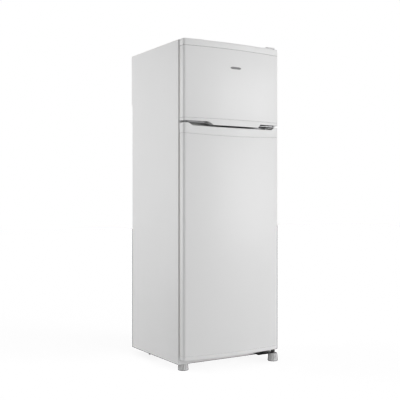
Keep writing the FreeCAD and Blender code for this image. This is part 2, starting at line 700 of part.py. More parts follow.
def build_condenser():
    """Serpentine tube with upright wires on both faces, held off the rear panel by four brackets."""
    y = coil_plane().value
    bend = dims.coil_bend.value
    reach = dims.coil_half_run.value
    passes = COIL_PASSES
    edges = []
    for index in range(passes):
        z = coil_level(index).value
        side = 1 if index % 2 == 0 else -1
        start = FreeCAD.Vector(-reach * side, y, z)
        end = FreeCAD.Vector(reach * side, y, z)
        edges.append(Part.LineSegment(start, end).toShape())
        if index < passes - 1:
            middle = FreeCAD.Vector((reach + bend) * side, y, z + bend)
            after = FreeCAD.Vector(reach * side, y, z + bend * 2)
            edges.append(Part.Arc(end, middle, after).toShape())
    path = Part.Wire(edges)
    ring = Part.Wire([Part.Circle(edges[0].Vertexes[0].Point, FreeCAD.Vector(1, 0, 0),
                                  dims.coil_tube.value).toShape()])
    tube_part("condenser_coil", [path.makePipeShell([ring], True, False)])

    wires = []
    wire_low = coil_level(0) - dims.wire_overrun
    wire_length = coil_rise * (COIL_PASSES - 1) + dims.wire_overrun * 2
    offset = dims.coil_tube + dims.wire_radius
    for column in range(DIMENSIONS["wire_count"]):
        x = dims.wire_pitch * (column - (dims.wire_count - 1) / 2)
        for face in (-1, 1):
            wires.append(rod(f"wire_{column}_{face + 1}", "Z", (x, coil_plane() + offset * face, wire_low),
                             wire_length, dims.wire_radius))
    finish("condenser_wires", group("condenser_wires", *wires))

    brackets = []
    for side in (-1, 1):
        for index in (1, COIL_PASSES - 4):
            level = coil_level(index)
            middle = dims.bracket_x * side
            x = (middle - dims.bracket_width / 2, middle + dims.bracket_width / 2)
            post = block(f"bracket_post_{side}_{index}", x, (rear, rear + dims.condenser_space),
                         (level - dims.bracket_tall / 2, level + dims.bracket_tall / 2))
            seat = rod(f"bracket_seat_{side}_{index}", "X", (x[0] - 1, coil_plane(), level),
                       dims.bracket_width + 2, dims.coil_tube)
            brackets.append(cut(f"bracket_{side}_{index}", post, seat))
    finish("condenser_brackets", group("condenser_brackets", *brackets))


def build_piping():
    """Filter drier and the tubes between compressor, condenser and the foamed-in evaporators."""
    tube = dims.coil_tube.value
    bend = dims.pipe_bend.value
    x, y = compressor_place()
    port_z = bottom + dims.base_wall + dims.grommet_height + dims.mount_wall + dims.port_rise
    riser_x = x + dims.compressor_radius + dims.pipe_side
    pipe_y = rear + dims.pipe_off
    coil_end = dims.coil_half_run
    first = coil_level(0)
    last = coil_level(COIL_PASSES - 1)
    over = last + dims.pipe_over
    drier_x = -coil_end - dims.coil_bend + dims.drier_radius
    drier_y = rear + dims.drier_radius + dims.coil_tube
    drier_low = first - dims.drier_drop
    inlet = first - dims.drier_inlet_drop
    drier_top = drier_low + dims.drier_length
    suction_x = x - dims.suction_side
    suction_top = last - dims.suction_drop
    suction_z = port_z + dims.suction_rise

    def route(*points):
        return [FreeCAD.Vector(*(size_of(size).value for size in point)) for point in points]

    discharge = route(
        (x + dims.compressor_radius, y, port_z), (riser_x, y, port_z), (riser_x, pipe_y, port_z),
        (riser_x, pipe_y, over), (coil_end + dims.pipe_end, pipe_y, over),
        (coil_end + dims.pipe_end, coil_plane(), over), (coil_end + dims.pipe_end, coil_plane(), last),
        (coil_end, coil_plane(), last))
    liquid = route(
        (-coil_end, coil_plane(), first), (drier_x, coil_plane(), first), (drier_x, coil_plane(), inlet),
        (drier_x, drier_y, inlet), (drier_x, drier_y, drier_low))
    capillary = route(
        (drier_x, drier_y, drier_top), (drier_x, drier_y, drier_top + dims.capillary_run),
        (drier_x, rear, drier_top + dims.capillary_run))
    suction = route(
        (suction_x, rear, suction_top), (suction_x, pipe_y, suction_top), (suction_x, pipe_y, suction_z),
        (suction_x, y + dims.compressor_radius - dims.suction_sink, suction_z))
    tube_part("refrigerant_pipes", [
        bent_tube(discharge, tube, bend), bent_tube(liquid, tube, bend), bent_tube(suction, tube, bend / 2),
        bent_tube(capillary, dims.capillary_radius.value, bend / 2),
    ])
    finish("filter_drier", rod("filter_drier", "Z", (drier_x, drier_y, drier_low), dims.drier_length,
                               dims.drier_radius))


# ---------------------------------------------------------------- hinges and feet
def hinge_pin(name, low, high):
    return rod(name, "Z", (hinge_x, hinge_y, low), high - low, dims.pin_radius)


def plate_levels():
    """Heights of the hinge plates' undersides: bottom, middle and top."""
    middle = fridge_door_high + dims.horn_rise + dims.hinge_plate_gap
    return dims.bracket_height, middle, top


def build_hinges():
    """Three steel brackets with pins on one axis, the top one's cover, and their screws."""
    low, middle, high = plate_levels()
    thick = dims.hinge_plate
    plate_x = (half_width - dims.front_return - dims.hinge_left, hinge_x + dims.hinge_reach)
    plate_y = (hinge_y - dims.hinge_reach, front)
    flange_x = (plate_x[0], plate_x[0] + dims.hinge_flange_width)
    flange_y = (front - thick, front)

    plate = block("middle_plate", plate_x, plate_y, (middle, middle + thick))
    flange = block("middle_flange", flange_x, flange_y, (middle - dims.flange_drop, middle + thick))
    pins = hinge_pin("middle_pin", middle - dims.pin_depth - dims.hinge_plate_gap,
                     middle + thick + dims.hinge_plate_gap * 2 + dims.pin_depth)
    finish("middle_hinge", fuse("middle_hinge", plate, flange, pins))

    plate = block("bottom_plate", plate_x, plate_y, (low, low + thick))
    flange = block("bottom_flange", flange_x, flange_y, (low, low + dims.flange_height))
    nut = rod("right_foot_nut", "Z", (hinge_x, hinge_y, low), dims.nut_top - low, dims.nut_radius)
    pin = hinge_pin("bottom_pin", dims.nut_top - dims.pin_root, fridge_door_low + dims.pin_depth)
    bore_top = dims.nut_top - dims.pin_root
    bore = rod("right_foot_bore", "Z", (hinge_x, hinge_y, low - OVERCUT), bore_top - low + OVERCUT,
               dims.stud_radius + dims.stud_clearance)
    finish("bottom_hinge", cut("bottom_hinge", fuse("bottom_hinge_solid", plate, flange, nut, pin), bore))

    run = front + dims.top_plate_run
    plate = block("top_plate_sheet", (hinge_x - dims.top_plate_left, hinge_x + dims.hinge_reach),
                  (hinge_y - dims.hinge_reach, run), (high, high + dims.top_plate))
    pin = hinge_pin("top_pin", door_top - dims.pin_depth, high + 1)
    finish("top_hinge", fuse("top_hinge", plate, pin))

    margin = dims.cover_margin
    cover_x = (hinge_x - dims.top_plate_left - margin, hinge_x + dims.hinge_reach + margin)
    cover_y = (hinge_y - dims.hinge_reach - margin, run + margin)
    cover_z = (high, high + dims.cover_height)
    cover = pad("top_hinge_cover", "XY", rectangle(cover_x, cover_y), cover_z)
    pocket(cover, "XY", rectangle((cover_x[0] + dims.cover_wall, cover_x[1] - dims.cover_wall),
                                  (cover_y[0] + dims.cover_wall, cover_y[1] - dims.cover_wall)),
           (high - 1, high + dims.cover_height - dims.cover_wall))

    def upper_edge(edge, point):
        return point.z > (high + dims.cover_height).value - 0.1

    finish("top_hinge_cover", round_edges(cover, dims.cover_wall, upper_edge))

    screws = []
    for row, z in enumerate((middle - dims.flange_drop / 2, low + dims.bottom_screw_rise)):
        for column in (0, 1):
            x = flange_x[0] + dims.screw_inset + dims.screw_pitch * column
            y = front - thick - dims.screw_head_height
            head = rod(f"screw_head_{row}{column}", "Y", (x, y, z), dims.screw_head_height, dims.screw_head)
            shank = rod(f"screw_shank_{row}{column}", "Y", (x, y, z), dims.screw_length, dims.screw_radius)
            screws.append(fuse(f"screw_{row}{column}", head, shank))
    for column in (0, 1):
        place = (hinge_x - dims.top_screw_left + dims.top_screw_pitch * column,
                 front + dims.top_screw_back, high + dims.top_plate)
        head = rod(f"top_head_{column}", "Z", place, dims.top_head_height, dims.screw_head)
        deep = (place[0], place[1], place[2] - dims.screw_length)
        shank = rod(f"top_shank_{column}", "Z", deep, dims.screw_length, dims.screw_radius)
        screws.append(fuse(f"top_screw_{column}", head, shank))
    finish("hinge_screws", group("hinge_screws", *screws))


def build_foot(name, x, y, crown):
    """A fluted plastic foot on a threaded steel stud."""
    top_radius = dims.foot_radius - dims.foot_taper
    edge = dims.foot_edge
    bore = dims.stud_radius + dims.stud_clearance
    body = turned(f"{name}_foot", [
        (0, 0), (dims.foot_radius - edge, 0), (dims.foot_radius, dims.foot_rim),
        (top_radius, crown - edge), (top_radius - edge, crown), (bore, crown), (bore, dims.stud_sink),
        (0, dims.stud_sink),
    ], x, y, 0)
    finish(f"{name}_foot", body)
    stud_low = dims.stud_sink + dims.stud_gap
    finish(f"{name}_foot_stud", rod(f"{name}_foot_stud", "Z", (x, y, stud_low), dims.stud_top - stud_low,
                                    dims.stud_radius))


# ---------------------------------------------------------------- doors
def door_block(name, inset, low, high, back):
    """A door-shaped block: flat back, straight sides, bowed front and rounded front corners."""
    body = doc.addObject("PartDesign::Body", name)
    sketch = body.newObject("Sketcher::SketchObject", name + "_outline")
    origin_plane = [item for item in body.Origin.OriginFeatures if item.Role == "XY_Plane"][0]
    sketch.AttachmentSupport = (origin_plane, "")
    sketch.MapMode = "FlatFace"
    sketch.setExpression("AttachmentOffset.Base.z", low.text)
    half = half_width - inset
    radius = bow_radius - inset
    edge_y = bow_centre - root(radius * radius - half * half)
    corners = [(-half, back), (half, back), (half, edge_y), (-half, edge_y)]
    points = [FreeCAD.Vector(a.value, b.value, 0) for a, b in corners]
    apex = FreeCAD.Vector(0, (bow_centre - radius).value, 0)
    sketch.addGeometry([
        Part.LineSegment(points[0], points[1]), Part.LineSegment(points[1], points[2]),
        Part.Arc(points[2], apex, points[3]), Part.LineSegment(points[3], points[0]),
    ])
    # an arc runs anticlockwise, so its own first point is the left corner
    for pair in ((0, 2, 1, 1), (1, 2, 2, 2), (2, 1, 3, 1), (3, 2, 0, 1)):
        sketch.addConstraint(Sketcher.Constraint("Coincident", *pair))
    for edge, corner in ((0, 0), (1, 1), (3, 3)):
        hold(sketch, "DistanceX", edge, corners[corner][0])
        hold(sketch, "DistanceY", edge, corners[corner][1])
    index = sketch.addConstraint(Sketcher.Constraint("DistanceX", -1, 1, 1, 2, half.value))
    sketch.setExpression(f"Constraints[{index}]", half.text)
    index = sketch.addConstraint(Sketcher.Constraint("DistanceY", -1, 1, 1, 2, edge_y.value))
    sketch.setExpression(f"Constraints[{index}]", edge_y.text)
    index = sketch.addConstraint(Sketcher.Constraint("Radius", 2, radius.value))
    sketch.setExpression(f"Constraints[{index}]", radius.text)
    feature = body.newObject("PartDesign::Pad", name + "_pad")
    feature.Profile = sketch
    bind(feature, Length=high - low)
    body.Tip = feature

    def front_corner(edge, middle):
        upright = abs(edge.tangentAt(edge.FirstParameter).z) > 0.99
        return upright and middle.y < (edge_y + 1).value

    return round_edges(body, dims.corner_radius - inset, front_corner)


def build_door(name, low, high, seams, slab, filling, relief, foam_relief, bores, lugs):
    """One door: steel skin, two end caps, liner with two dykes, and the foam that fills them.

    The foam is a plain slab, the filling of the shaped end cap beside it, and the two dykes' fillings.
    """
    wall = dims.liner_wall
    back = door_back - wall
    low_seam, high_seam = seams
    dyke_z = (low_seam + dims.dyke_margin, high_seam - dims.dyke_margin)
    dykes = []
    dyke_cores = []
    for side in (-1, 1):
        outer = dyke_outer * side
        inner = dyke_inner * side
        x = (inner, outer) if side > 0 else (outer, inner)
        core_x = (x[0] + wall, x[1] - wall)
        dykes.append(block(f"{name}_dyke_{side}", x, (back, door_back + dims.dyke_depth), dyke_z))
        dyke_cores.append(block(f"{name}_dyke_core_{side}", core_x,
                                (back, door_back + dims.dyke_depth - wall),
                                (dyke_z[0] + wall, dyke_z[1] - wall)))
    bosses = []
    for index, (bore_low, bore_high) in enumerate(bores):
        deep_low = bore_low - (dims.boss_wall if index else dims.boss_run)
        deep_high = bore_high + (dims.boss_run if index else dims.boss_wall)
        bosses.append(rod(f"{name}_boss_{index}", "Z", (hinge_x, hinge_y, deep_low), deep_high - deep_low,
                          dims.boss_radius))
    slab_foam = cut(f"{name}_slab", door_block(f"{name}_slab_block", dims.door_wall, *slab, back), *bosses)
    cap_foam = cut(f"{name}_filling", door_block(f"{name}_filling_block", dims.door_wall, *filling, back),
                   *bosses, *foam_relief)
    finish(f"{name}_foam", group(f"{name}_foam", slab_foam, cap_foam, *dyke_cores))
    foam = fuse(f"{name}_foam_tool", slab_foam, cap_foam, *dyke_cores)

    holes = [
        rod(f"{name}_pin_hole_{index}", "Z", (hinge_x, hinge_y, bore_low), bore_high - bore_low,
            dims.pin_radius + dims.pin_clearance)
        for index, (bore_low, bore_high) in enumerate(bores)
    ]
    skin = door_block(f"{name}_skin_solid", size_of(0), low_seam, high_seam, back)
    finish(f"{name}_skin", cut(f"{name}_skin", skin, foam))
    low_cap = door_block(f"{name}_low_cap_solid", size_of(0), low, low_seam, back)
    finish(f"{name}_bottom_cap", cut(f"{name}_bottom_cap", low_cap, foam, *holes, *relief))
    high_cap = door_block(f"{name}_high_cap_solid", size_of(0), high_seam, high, back)
    finish(f"{name}_top_cap", cut(f"{name}_top_cap", high_cap, foam, *holes, *relief))
    sheet = block(f"{name}_liner_sheet", (-half_width, half_width), (back, door_back), (low, high))
    liner = cut(f"{name}_liner", fuse(f"{name}_liner_solid", sheet, *dykes, *lugs), foam, *relief)
    finish(f"{name}_liner", liner)


def lug_pair(name, underside):
    """Two small lugs on the dykes that a door bin rests on."""
    inner = dyke_inner
    y = (door_back + dims.lug_gap, door_back + dims.lug_gap + dims.lug_depth)
    z = (underside - dims.lug_height, underside)
    left = block(name + "_left", (-inner - OVERCUT, -inner + dims.lug_width), y, z)
    right = block(name + "_right", (inner - dims.lug_width, inner + OVERCUT), y, z)
    return [left, right]


def door_bin(name, back, underside, height):
    """An open-topped tray that rests on two lugs."""
    half = dyke_inner - dims.bin_side_gap
    x = (-half, half)
    y = (door_back + dims.bin_gap, door_back + back)
    wall = dims.bin_wall
    tray = pad(name, "XY", rectangle(x, y), (underside, underside + height))
    pocket(tray, "XY", rectangle((x[0] + wall, x[1] - wall), (y[0] + wall, y[1] - wall)),
           (underside + wall, underside + height + 1))
    return tray


def build_gasket(name, low, high):
    """Magnetic gasket: a soft frame that nearly touches the cabinet's front."""
    left = -half_width + dims.gasket_left
    right = half_width - dims.gasket_right
    width = dims.gasket_width
    limits = (door_back, front - dims.gasket_clearance)
    frame = pad(name, "XZ", rectangle((left, right), (low, high)), limits)
    pocket(frame, "XZ", rectangle((left + width, right - width), (low + width, high - width)),
           (door_back - 1, front + 1))
    finish(name, frame)


def prism(name, corners):
    """A relief cut through a door from front to back."""
    return pad(name, "XZ", corners, (door_corner - dims.door_bow - OVERCUT, front))


def scoop_outlines(rise):
    """Front outlines of the freezer door's finger scoop and of its hinge scoop."""
    base = freezer_door_low - OVERCUT
    outside = half_width + OVERCUT
    left_end = -half_width + dims.left_scoop_end
    right_start = half_width - dims.right_scoop_length
    ceiling = freezer_door_low + dims.scoop_rise + rise
    left = [(-outside, base), (left_end + dims.left_scoop_slope + rise, base),
            (left_end + dims.left_scoop_slope + rise, freezer_door_low + rise / 2),
            (left_end + rise / 2, ceiling), (-outside, ceiling)]
    right = [(right_start - rise, base), (outside, base), (outside, ceiling),
             (right_start + dims.right_scoop_slope - rise / 2, ceiling),
             (right_start - rise, freezer_door_low + rise / 2)]
    return left, right


def valley_outline(drop):
    """Front outline of the dip between the fridge door's two raised top corners."""
    ceiling = fridge_door_high + dims.horn_rise
    above = ceiling + OVERCUT
    floor = fridge_door_high - drop
    near = half_width - dims.horn_width + drop / 2
    deep = near - dims.horn_slope
    return [(-near, above), (-near, ceiling - drop / 2), (-deep, floor), (deep, floor),
            (near, ceiling - drop / 2), (near, above)]


def build_freezer_door():
    low, high = freezer_door_low, door_top
    low_seam = low + dims.grip_cap_height
    high_seam = high - dims.top_cap_height
    plate_top = plate_levels()[1] + dims.hinge_plate
    pin_end = plate_top + dims.hinge_plate_gap * 2 + dims.pin_depth + dims.pin_end_gap
    bores = [(low - 1, pin_end), (high - dims.pin_depth - dims.pin_end_gap, high + 1)]
    relief = [prism(f"scoop_{i}", outline) for i, outline in enumerate(scoop_outlines(size_of(0)))]
    foam_relief = [prism(f"foam_scoop_{i}", outline)
                   for i, outline in enumerate(scoop_outlines(dims.cap_wall))]
    bin_low = low_seam + dims.freezer_bin_rise
    slab = (low + dims.scoop_rise + dims.cap_wall, high - dims.cap_wall)
    filling = (low + dims.cap_wall, slab[0])
    build_door("freezer_door", low, high, (low_seam, high_seam), slab, filling, relief, foam_relief, bores,
               lug_pair("freezer_lug", bin_low))
    finish("freezer_door_bin", door_bin("freezer_door_bin", dims.freezer_bin_back, bin_low, dims.bin_height))
    build_gasket("freezer_door_gasket", rail_high - dims.gasket_rail_lap, high - dims.gasket_end)

    start = -half_width + dims.grip_start
    ceiling = low + dims.scoop_rise
    corner_front = door_corner - dims.grip_ahead
    x = (start, start + dims.grip_length)
    y = (corner_front, corner_front + dims.grip_depth)
    insert = pad("freezer_grip_insert", "XY", rectangle(x, y), (ceiling - dims.grip_height, ceiling))
    wall = dims.grip_wall
    pocket(insert, "XY", rectangle((x[0] + wall, x[1] - wall), (y[0] + wall, y[1] - wall)),
           (ceiling - dims.grip_height - 1, ceiling - wall))
    finish("freezer_grip_insert", insert)


def build_fridge_door():
    low = fridge_door_low
    high = fridge_door_high + dims.horn_rise
    low_seam = low + dims.bottom_cap_height
    high_seam = fridge_door_high - dims.ledge_cap_height
    plate_low = plate_levels()[1]
    bores = [(low - 1, low + dims.pin_depth + dims.pin_end_gap),
             (plate_low - dims.hinge_plate_gap - dims.pin_depth - dims.pin_end_gap, high + 1)]
    relief = [prism("valley", valley_outline(size_of(0)))]
    foam_relief = [prism("foam_valley", valley_outline(dims.cap_wall))]
    bottle_low = low_seam + dims.bottle_bin_rise
    upper_low = high_seam - dims.upper_bin_drop
    levels = [bottle_low, (bottle_low + upper_low) / 2, upper_low]
    lugs = []
    for index, level in enumerate(levels):
        lugs += lug_pair(f"fridge_lug_{index}", level)
    slab = (low + dims.cap_wall, fridge_door_high - dims.cap_wall)
    filling = (slab[1], high - dims.cap_wall)
    build_door("fridge_door", low, high, (low_seam, high_seam), slab, filling, relief, foam_relief, bores,
               lugs)
    heights = (dims.bin_height + dims.bottle_bin_extra, dims.bin_height, dims.bin_height)
    bins = [door_bin(f"fridge_bin_{index}", dims.bin_back, level, height)
            for index, (level, height) in enumerate(zip(levels, heights))]
    finish("fridge_door_bins", group("fridge_door_bins", *bins))
    build_gasket("fridge_door_gasket", low + dims.gasket_low_gap, fridge_door_high - dims.gasket_end)


# ---------------------------------------------------------------- inside the cabinet
def build_shelves():
    """Glass shelves with moulded front trims; the lowest glass covers the crisper."""
    half = fridge_half - dims.shelf_side_gap
    front_y = front + dims.shelf_front
    rear_y = fridge_rear - dims.cavity_round
    glasses = []
    trims = []
    for index in range(DIMENSIONS["shelf_count"]):
        low = shelf_level(index)
        high = low + dims.shelf_glass
        glasses.append(block(f"glass_{index}", (-half, half), (front_y + dims.trim_lap, rear_y), (low, high)))
        lip = dims.trim_lap
        trims.append(pad(f"trim_{index}", "YZ", [
            (front_y - lip, high + lip - dims.trim_height), (front_y + dims.trim_lap, low - lip),
            (front_y + dims.trim_depth, low - lip), (front_y + dims.trim_depth, low),
            (front_y + dims.trim_lap, low), (front_y + dims.trim_lap, high),
            (front_y + dims.trim_depth, high), (front_y + dims.trim_depth, high + lip),
            (front_y - lip, high + lip),
        ], (-half, half)))
    finish("glass_shelves", group("glass_shelves", *glasses))
    finish("shelf_trims", group("shelf_trims", *trims))

    low = freezer_low + dims.freezer_shelf_rise
    half = freezer_half - dims.shelf_side_gap
    y = (front + dims.freezer_shelf_front, freezer_rear - dims.cavity_round)
    wall = dims.freezer_shelf_wall
    shelf = pad("freezer_shelf", "YZ", [
        (y[0], low - wall * 3), (y[0] + wall, low - wall * 3), (y[0] + wall, low), (y[1], low),
        (y[1], low + wall), (y[0], low + wall),
    ], (-half, half))
    finish("freezer_shelf", shelf)


def build_crisper():
    """Clear drawer whose rear follows the step over the compressor."""
    wall = dims.drawer_wall
    low = fridge_low + dims.drawer_floor_gap
    high = crisper_shelf - dims.rib_height - dims.drawer_top_gap
    half = fridge_half - dims.drawer_side_gap
    face = front + dims.drawer_front
    rear_low = hump_front - dims.drawer_rear_gap
    rear_high = hump_back - dims.drawer_rear_gap - dims.kick_foam
    outline = [(face, low), (rear_low, low), (rear_low, hump_kick_z), (rear_high, high), (face, high)]
    drawer = pad("crisper_box", "YZ", outline, (-half, half))
    inner_face = face + dims.drawer_front_wall
    inside = [(inner_face, low + wall), (rear_low - wall, low + wall), (rear_low - wall, hump_kick_z),
              (rear_high - wall, high + OVERCUT), (inner_face, high + OVERCUT)]
    pocket(drawer, "YZ", inside, (-half + wall, half - wall))
    lip = block("crisper_lip", (-dims.drawer_lip_half, dims.drawer_lip_half),
                (face - dims.drawer_lip, face + OVERCUT),
                (high - dims.drawer_lip_height, high - dims.drawer_lip_drop))
    finish("crisper_drawer", fuse("crisper_drawer", drawer, lip))


def build_control_housing():
    """Wall housing with the lamp, the thermostat knob and the door-operated light switch."""
    face = fridge_half - dims.housing_depth
    y = (front + dims.housing_start, front + dims.housing_start + dims.housing_length)
    low = fridge_high - dims.housing_drop
    middle = low + dims.housing_height / 2
    case = pad("housing_case", "YZ", rectangle(y, (low, low + dims.housing_height)), (face, fridge_half))

    def outer_edge(edge, point):
        return point.x < face.value + 0.1

    case = round_edges(case, dims.housing_round, outer_edge)
    lamp_y = (y[0] + dims.lamp_start, y[0] + dims.lamp_start + dims.lamp_length)
    lamp_z = (middle - dims.lamp_height / 2, middle + dims.lamp_height / 2)
    recess = block("lamp_recess", (face - 1, face + dims.lamp_recess), lamp_y, lamp_z)
    knob_y = front + dims.knob_from_front
    spindle_bore = rod("spindle_bore", "X", (face - 1, knob_y, middle), dims.spindle_length + 3,
                       dims.spindle_radius + dims.pin_clearance)
    plunger_x = face + dims.plunger_inset
    plunger_bore = rod("plunger_bore", "Y", (plunger_x, y[0] - 1, middle), dims.plunger_sink + 5,
                       dims.plunger_radius + dims.pin_clearance)
    finish("control_housing", cut("control_housing", case, recess, spindle_bore, plunger_bore))

    rise = dims.lamp_cover_rise
    cover = pad("lamp_cover", "YZ", rectangle(lamp_y, lamp_z), (face - rise, face + dims.lamp_cover_wall))
    wall = dims.lamp_cover_wall
    pocket(cover, "YZ", rectangle((lamp_y[0] + wall, lamp_y[1] - wall), (lamp_z[0] + wall, lamp_z[1] - wall)),
           (face - rise + wall, face + wall + 1))
    finish("lamp_cover", cover)

    bulb = dims.bulb_radius
    length = dims.bulb_length
    lamp = turned("lamp_bulb", [
        (0, 0), (dims.bulb_neck, 0), (dims.bulb_neck, length / 3), (bulb, length / 2),
        (bulb, length - bulb / 2), (bulb / 2, length), (0, length),
    ], 0, 0, 0)
    lamp.Placement = FreeCAD.Placement(FreeCAD.Vector(), AXIS_TURN["Y"])
    finish("lamp_bulb", move_to(lamp, face + dims.lamp_recess / 2, lamp_y[0], middle))

    spindle = rod("knob_spindle", "X", (face - dims.knob_gap - 2, knob_y, middle), dims.spindle_length,
                  dims.spindle_radius)
    disc_x = face - dims.knob_gap - dims.knob_height / 2
    disc = rod("knob_disc", "X", (disc_x, knob_y, middle), dims.knob_height / 2, dims.knob_radius)
    grip = block("knob_grip", (face - dims.knob_gap - dims.knob_height, disc_x + 1),
                 (knob_y - dims.knob_grip_width / 2, knob_y + dims.knob_grip_width / 2),
                 (middle - dims.knob_radius + 1, middle + dims.knob_radius - 1))
    finish("thermostat_knob", fuse("thermostat_knob", spindle, disc, grip))

    tip = door_back + dims.dyke_depth + dims.plunger_gap
    plunger = rod("plunger_stem", "Y", (plunger_x, tip, middle), y[0] + dims.plunger_sink - tip,
                  dims.plunger_radius)
    finish("light_switch_plunger", plunger)


# ---------------------------------------------------------------- assembly
def build_all():
    drain = build_drain()
    build_outer_shell()
    build_rear_panel()
    build_floor_pan(drain)
    build_front_rails()
    build_liners(drain)
    build_foam(drain, build_evaporators())
    build_base_plate()
    build_rollers()
    build_compressor()
    build_condenser()
    build_piping()
    build_hinges()
    build_foot("left", -half_width + dims.left_foot_inboard, front + dims.left_foot_behind,
               bottom - dims.foot_crown)
    build_foot("right", hinge_x, hinge_y, dims.bracket_height - dims.foot_crown)
    build_freezer_door()
    build_fridge_door()
    build_shelves()
    build_crisper()
    build_control_housing()
    doc.recompute()


def check_all():
    """Stops if any object failed, or any sub-part is empty or invalid."""
    for thing in doc.Objects:
        if "Invalid" in thing.State or "Error" in thing.State:
            raise RuntimeError(f"{thing.Name} failed: {thing.State}")
    for name, thing in finished.items():
        if thing.Shape.isNull() or not thing.Shape.isValid() or not thing.Shape.Solids:
            raise RuntimeError(f"{name} has no valid shape")


def write_all():
    os.makedirs("parts", exist_ok=True)
    for name, thing in finished.items():
        thing.Shape.exportStep(f"parts/{name}.step")
        box = thing.Shape.BoundBox
        print(f"{name}: {len(thing.Shape.Solids)} solids, "
              f"x {box.XMin:.1f}..{box.XMax:.1f} y {box.YMin:.1f}..{box.YMax:.1f} "
              f"z {box.ZMin:.1f}..{box.ZMax:.1f}, {thing.Shape.Volume / 1000:.1f} cm3")
    print(len(finished), "nodes")


build_all()
check_all()
write_all()
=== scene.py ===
"""Looks of a slim top freezer refrigerator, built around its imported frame.

White enamelled cabinet and bowed doors with moulded end caps, grey gaskets, fluted levelling feet, a wire
and tube condenser behind, and glass shelves inside. All lengths are in metres.
"""

import json
import math

import bmesh
import bpy
from mathutils import Matrix, Vector


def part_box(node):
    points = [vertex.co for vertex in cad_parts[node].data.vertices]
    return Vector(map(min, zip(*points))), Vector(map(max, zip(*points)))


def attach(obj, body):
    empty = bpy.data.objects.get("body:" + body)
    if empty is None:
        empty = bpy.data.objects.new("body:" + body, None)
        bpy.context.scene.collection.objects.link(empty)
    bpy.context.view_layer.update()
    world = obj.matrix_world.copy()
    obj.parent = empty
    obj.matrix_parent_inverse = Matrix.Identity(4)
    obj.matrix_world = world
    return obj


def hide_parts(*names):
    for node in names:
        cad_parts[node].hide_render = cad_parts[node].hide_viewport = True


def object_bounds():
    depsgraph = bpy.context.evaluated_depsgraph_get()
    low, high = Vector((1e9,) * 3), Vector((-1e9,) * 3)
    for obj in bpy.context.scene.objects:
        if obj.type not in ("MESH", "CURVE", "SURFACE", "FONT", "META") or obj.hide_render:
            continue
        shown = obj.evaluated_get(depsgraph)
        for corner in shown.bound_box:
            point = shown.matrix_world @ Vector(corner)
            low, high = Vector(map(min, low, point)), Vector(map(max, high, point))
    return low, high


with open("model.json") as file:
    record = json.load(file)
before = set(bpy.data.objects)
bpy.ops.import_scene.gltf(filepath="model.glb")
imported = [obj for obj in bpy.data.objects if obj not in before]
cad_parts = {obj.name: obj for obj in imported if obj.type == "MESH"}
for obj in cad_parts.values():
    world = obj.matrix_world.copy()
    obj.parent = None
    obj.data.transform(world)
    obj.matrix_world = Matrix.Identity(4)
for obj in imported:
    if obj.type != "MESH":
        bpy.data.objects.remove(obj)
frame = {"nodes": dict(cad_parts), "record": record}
CAD_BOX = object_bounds()

bl_info = {
    "name": "Top Freezer Refrigerator",
    "version": (1, 0, 0),
    "blender": (4, 5, 0),
    "location": "View3D > Sidebar > Refrigerator",
    "description": "Builds a slim top freezer refrigerator round its packed frame",
    "category": "Add Mesh",
}

MM = 0.001
SMOOTH_ANGLE = math.radians(32)
DOUBLES = 1e-6
CAD_DOUBLES = 2e-6
CABINET = "cabinet"


# ---------------------------------------------------------------- sizes that a user would change
class CabinetSizes(bpy.types.PropertyGroup):
    edge_radius: bpy.props.FloatProperty(
        name="Edge radius", description="Bend radius of the long top edges", default=3 * MM, unit="LENGTH")
    front_fold: bpy.props.FloatProperty(
        name="Front fold", description="Bend radius where the sheet turns in at the front",
        default=1.4 * MM, unit="LENGTH")
    front_return: bpy.props.FloatProperty(
        name="Front return", description="Width of sheet turned in round the front opening",
        default=16 * MM, unit="LENGTH")
    sheet: bpy.props.FloatProperty(
        name="Sheet", description="Thickness of the steel sheet", default=0.8 * MM, unit="LENGTH")
    step_height: bpy.props.FloatProperty(
        name="Step height", description="Height of the deeper part of the back, down from the top",
        default=267 * MM, unit="LENGTH")
    step_rise: bpy.props.FloatProperty(
        name="Step rise", description="Height over which the back steps out", default=14 * MM,
        unit="LENGTH")


class DoorSizes(bpy.types.PropertyGroup):
    bow: bpy.props.FloatProperty(
        name="Bow", description="How far the middle of a door stands proud of its corners",
        default=22 * MM, unit="LENGTH")
    corner_radius: bpy.props.FloatProperty(
        name="Corner radius", description="Radius of a door's upright front corners", default=12 * MM,
        unit="LENGTH")
    skin_edge: bpy.props.FloatProperty(
        name="Skin edge", description="Rounding of the steel skin where it meets a cap",
        default=0.9 * MM, unit="LENGTH")
    seam_gap: bpy.props.FloatProperty(
        name="Seam gap", description="Half of the open line between skin and cap", default=0.25 * MM,
        unit="LENGTH")
    cap_wall: bpy.props.FloatProperty(
        name="Cap wall", description="Wall of the moulded end caps", default=2.2 * MM, unit="LENGTH")
    top_bevel: bpy.props.FloatProperty(
        name="Top bevel", description="Chamfer along the middle of the freezer door's top edge",
        default=4.5 * MM, unit="LENGTH")
    top_step: bpy.props.FloatProperty(
        name="Top step", description="How much lower the chamfered middle is than the ends",
        default=0.8 * MM, unit="LENGTH")
    seam_arch: bpy.props.FloatProperty(
        name="Seam arch", description="How far the fridge door's upper seam dips in the middle",
        default=8 * MM, unit="LENGTH")
    ledge_smile: bpy.props.FloatProperty(
        name="Ledge smile", description="How far the fridge door's top edge rises towards its ends",
        default=3 * MM, unit="LENGTH")


class FootSizes(bpy.types.PropertyGroup):
    flutes: bpy.props.IntProperty(name="Flutes", description="Grooves round a foot", default=10, min=3)
    flute_depth: bpy.props.FloatProperty(
        name="Flute depth", description="Depth of a groove", default=3.6 * MM, unit="LENGTH")
    waist: bpy.props.FloatProperty(
        name="Waist", description="How much narrower a foot is above than below", default=3.4 * MM,
        unit="LENGTH")


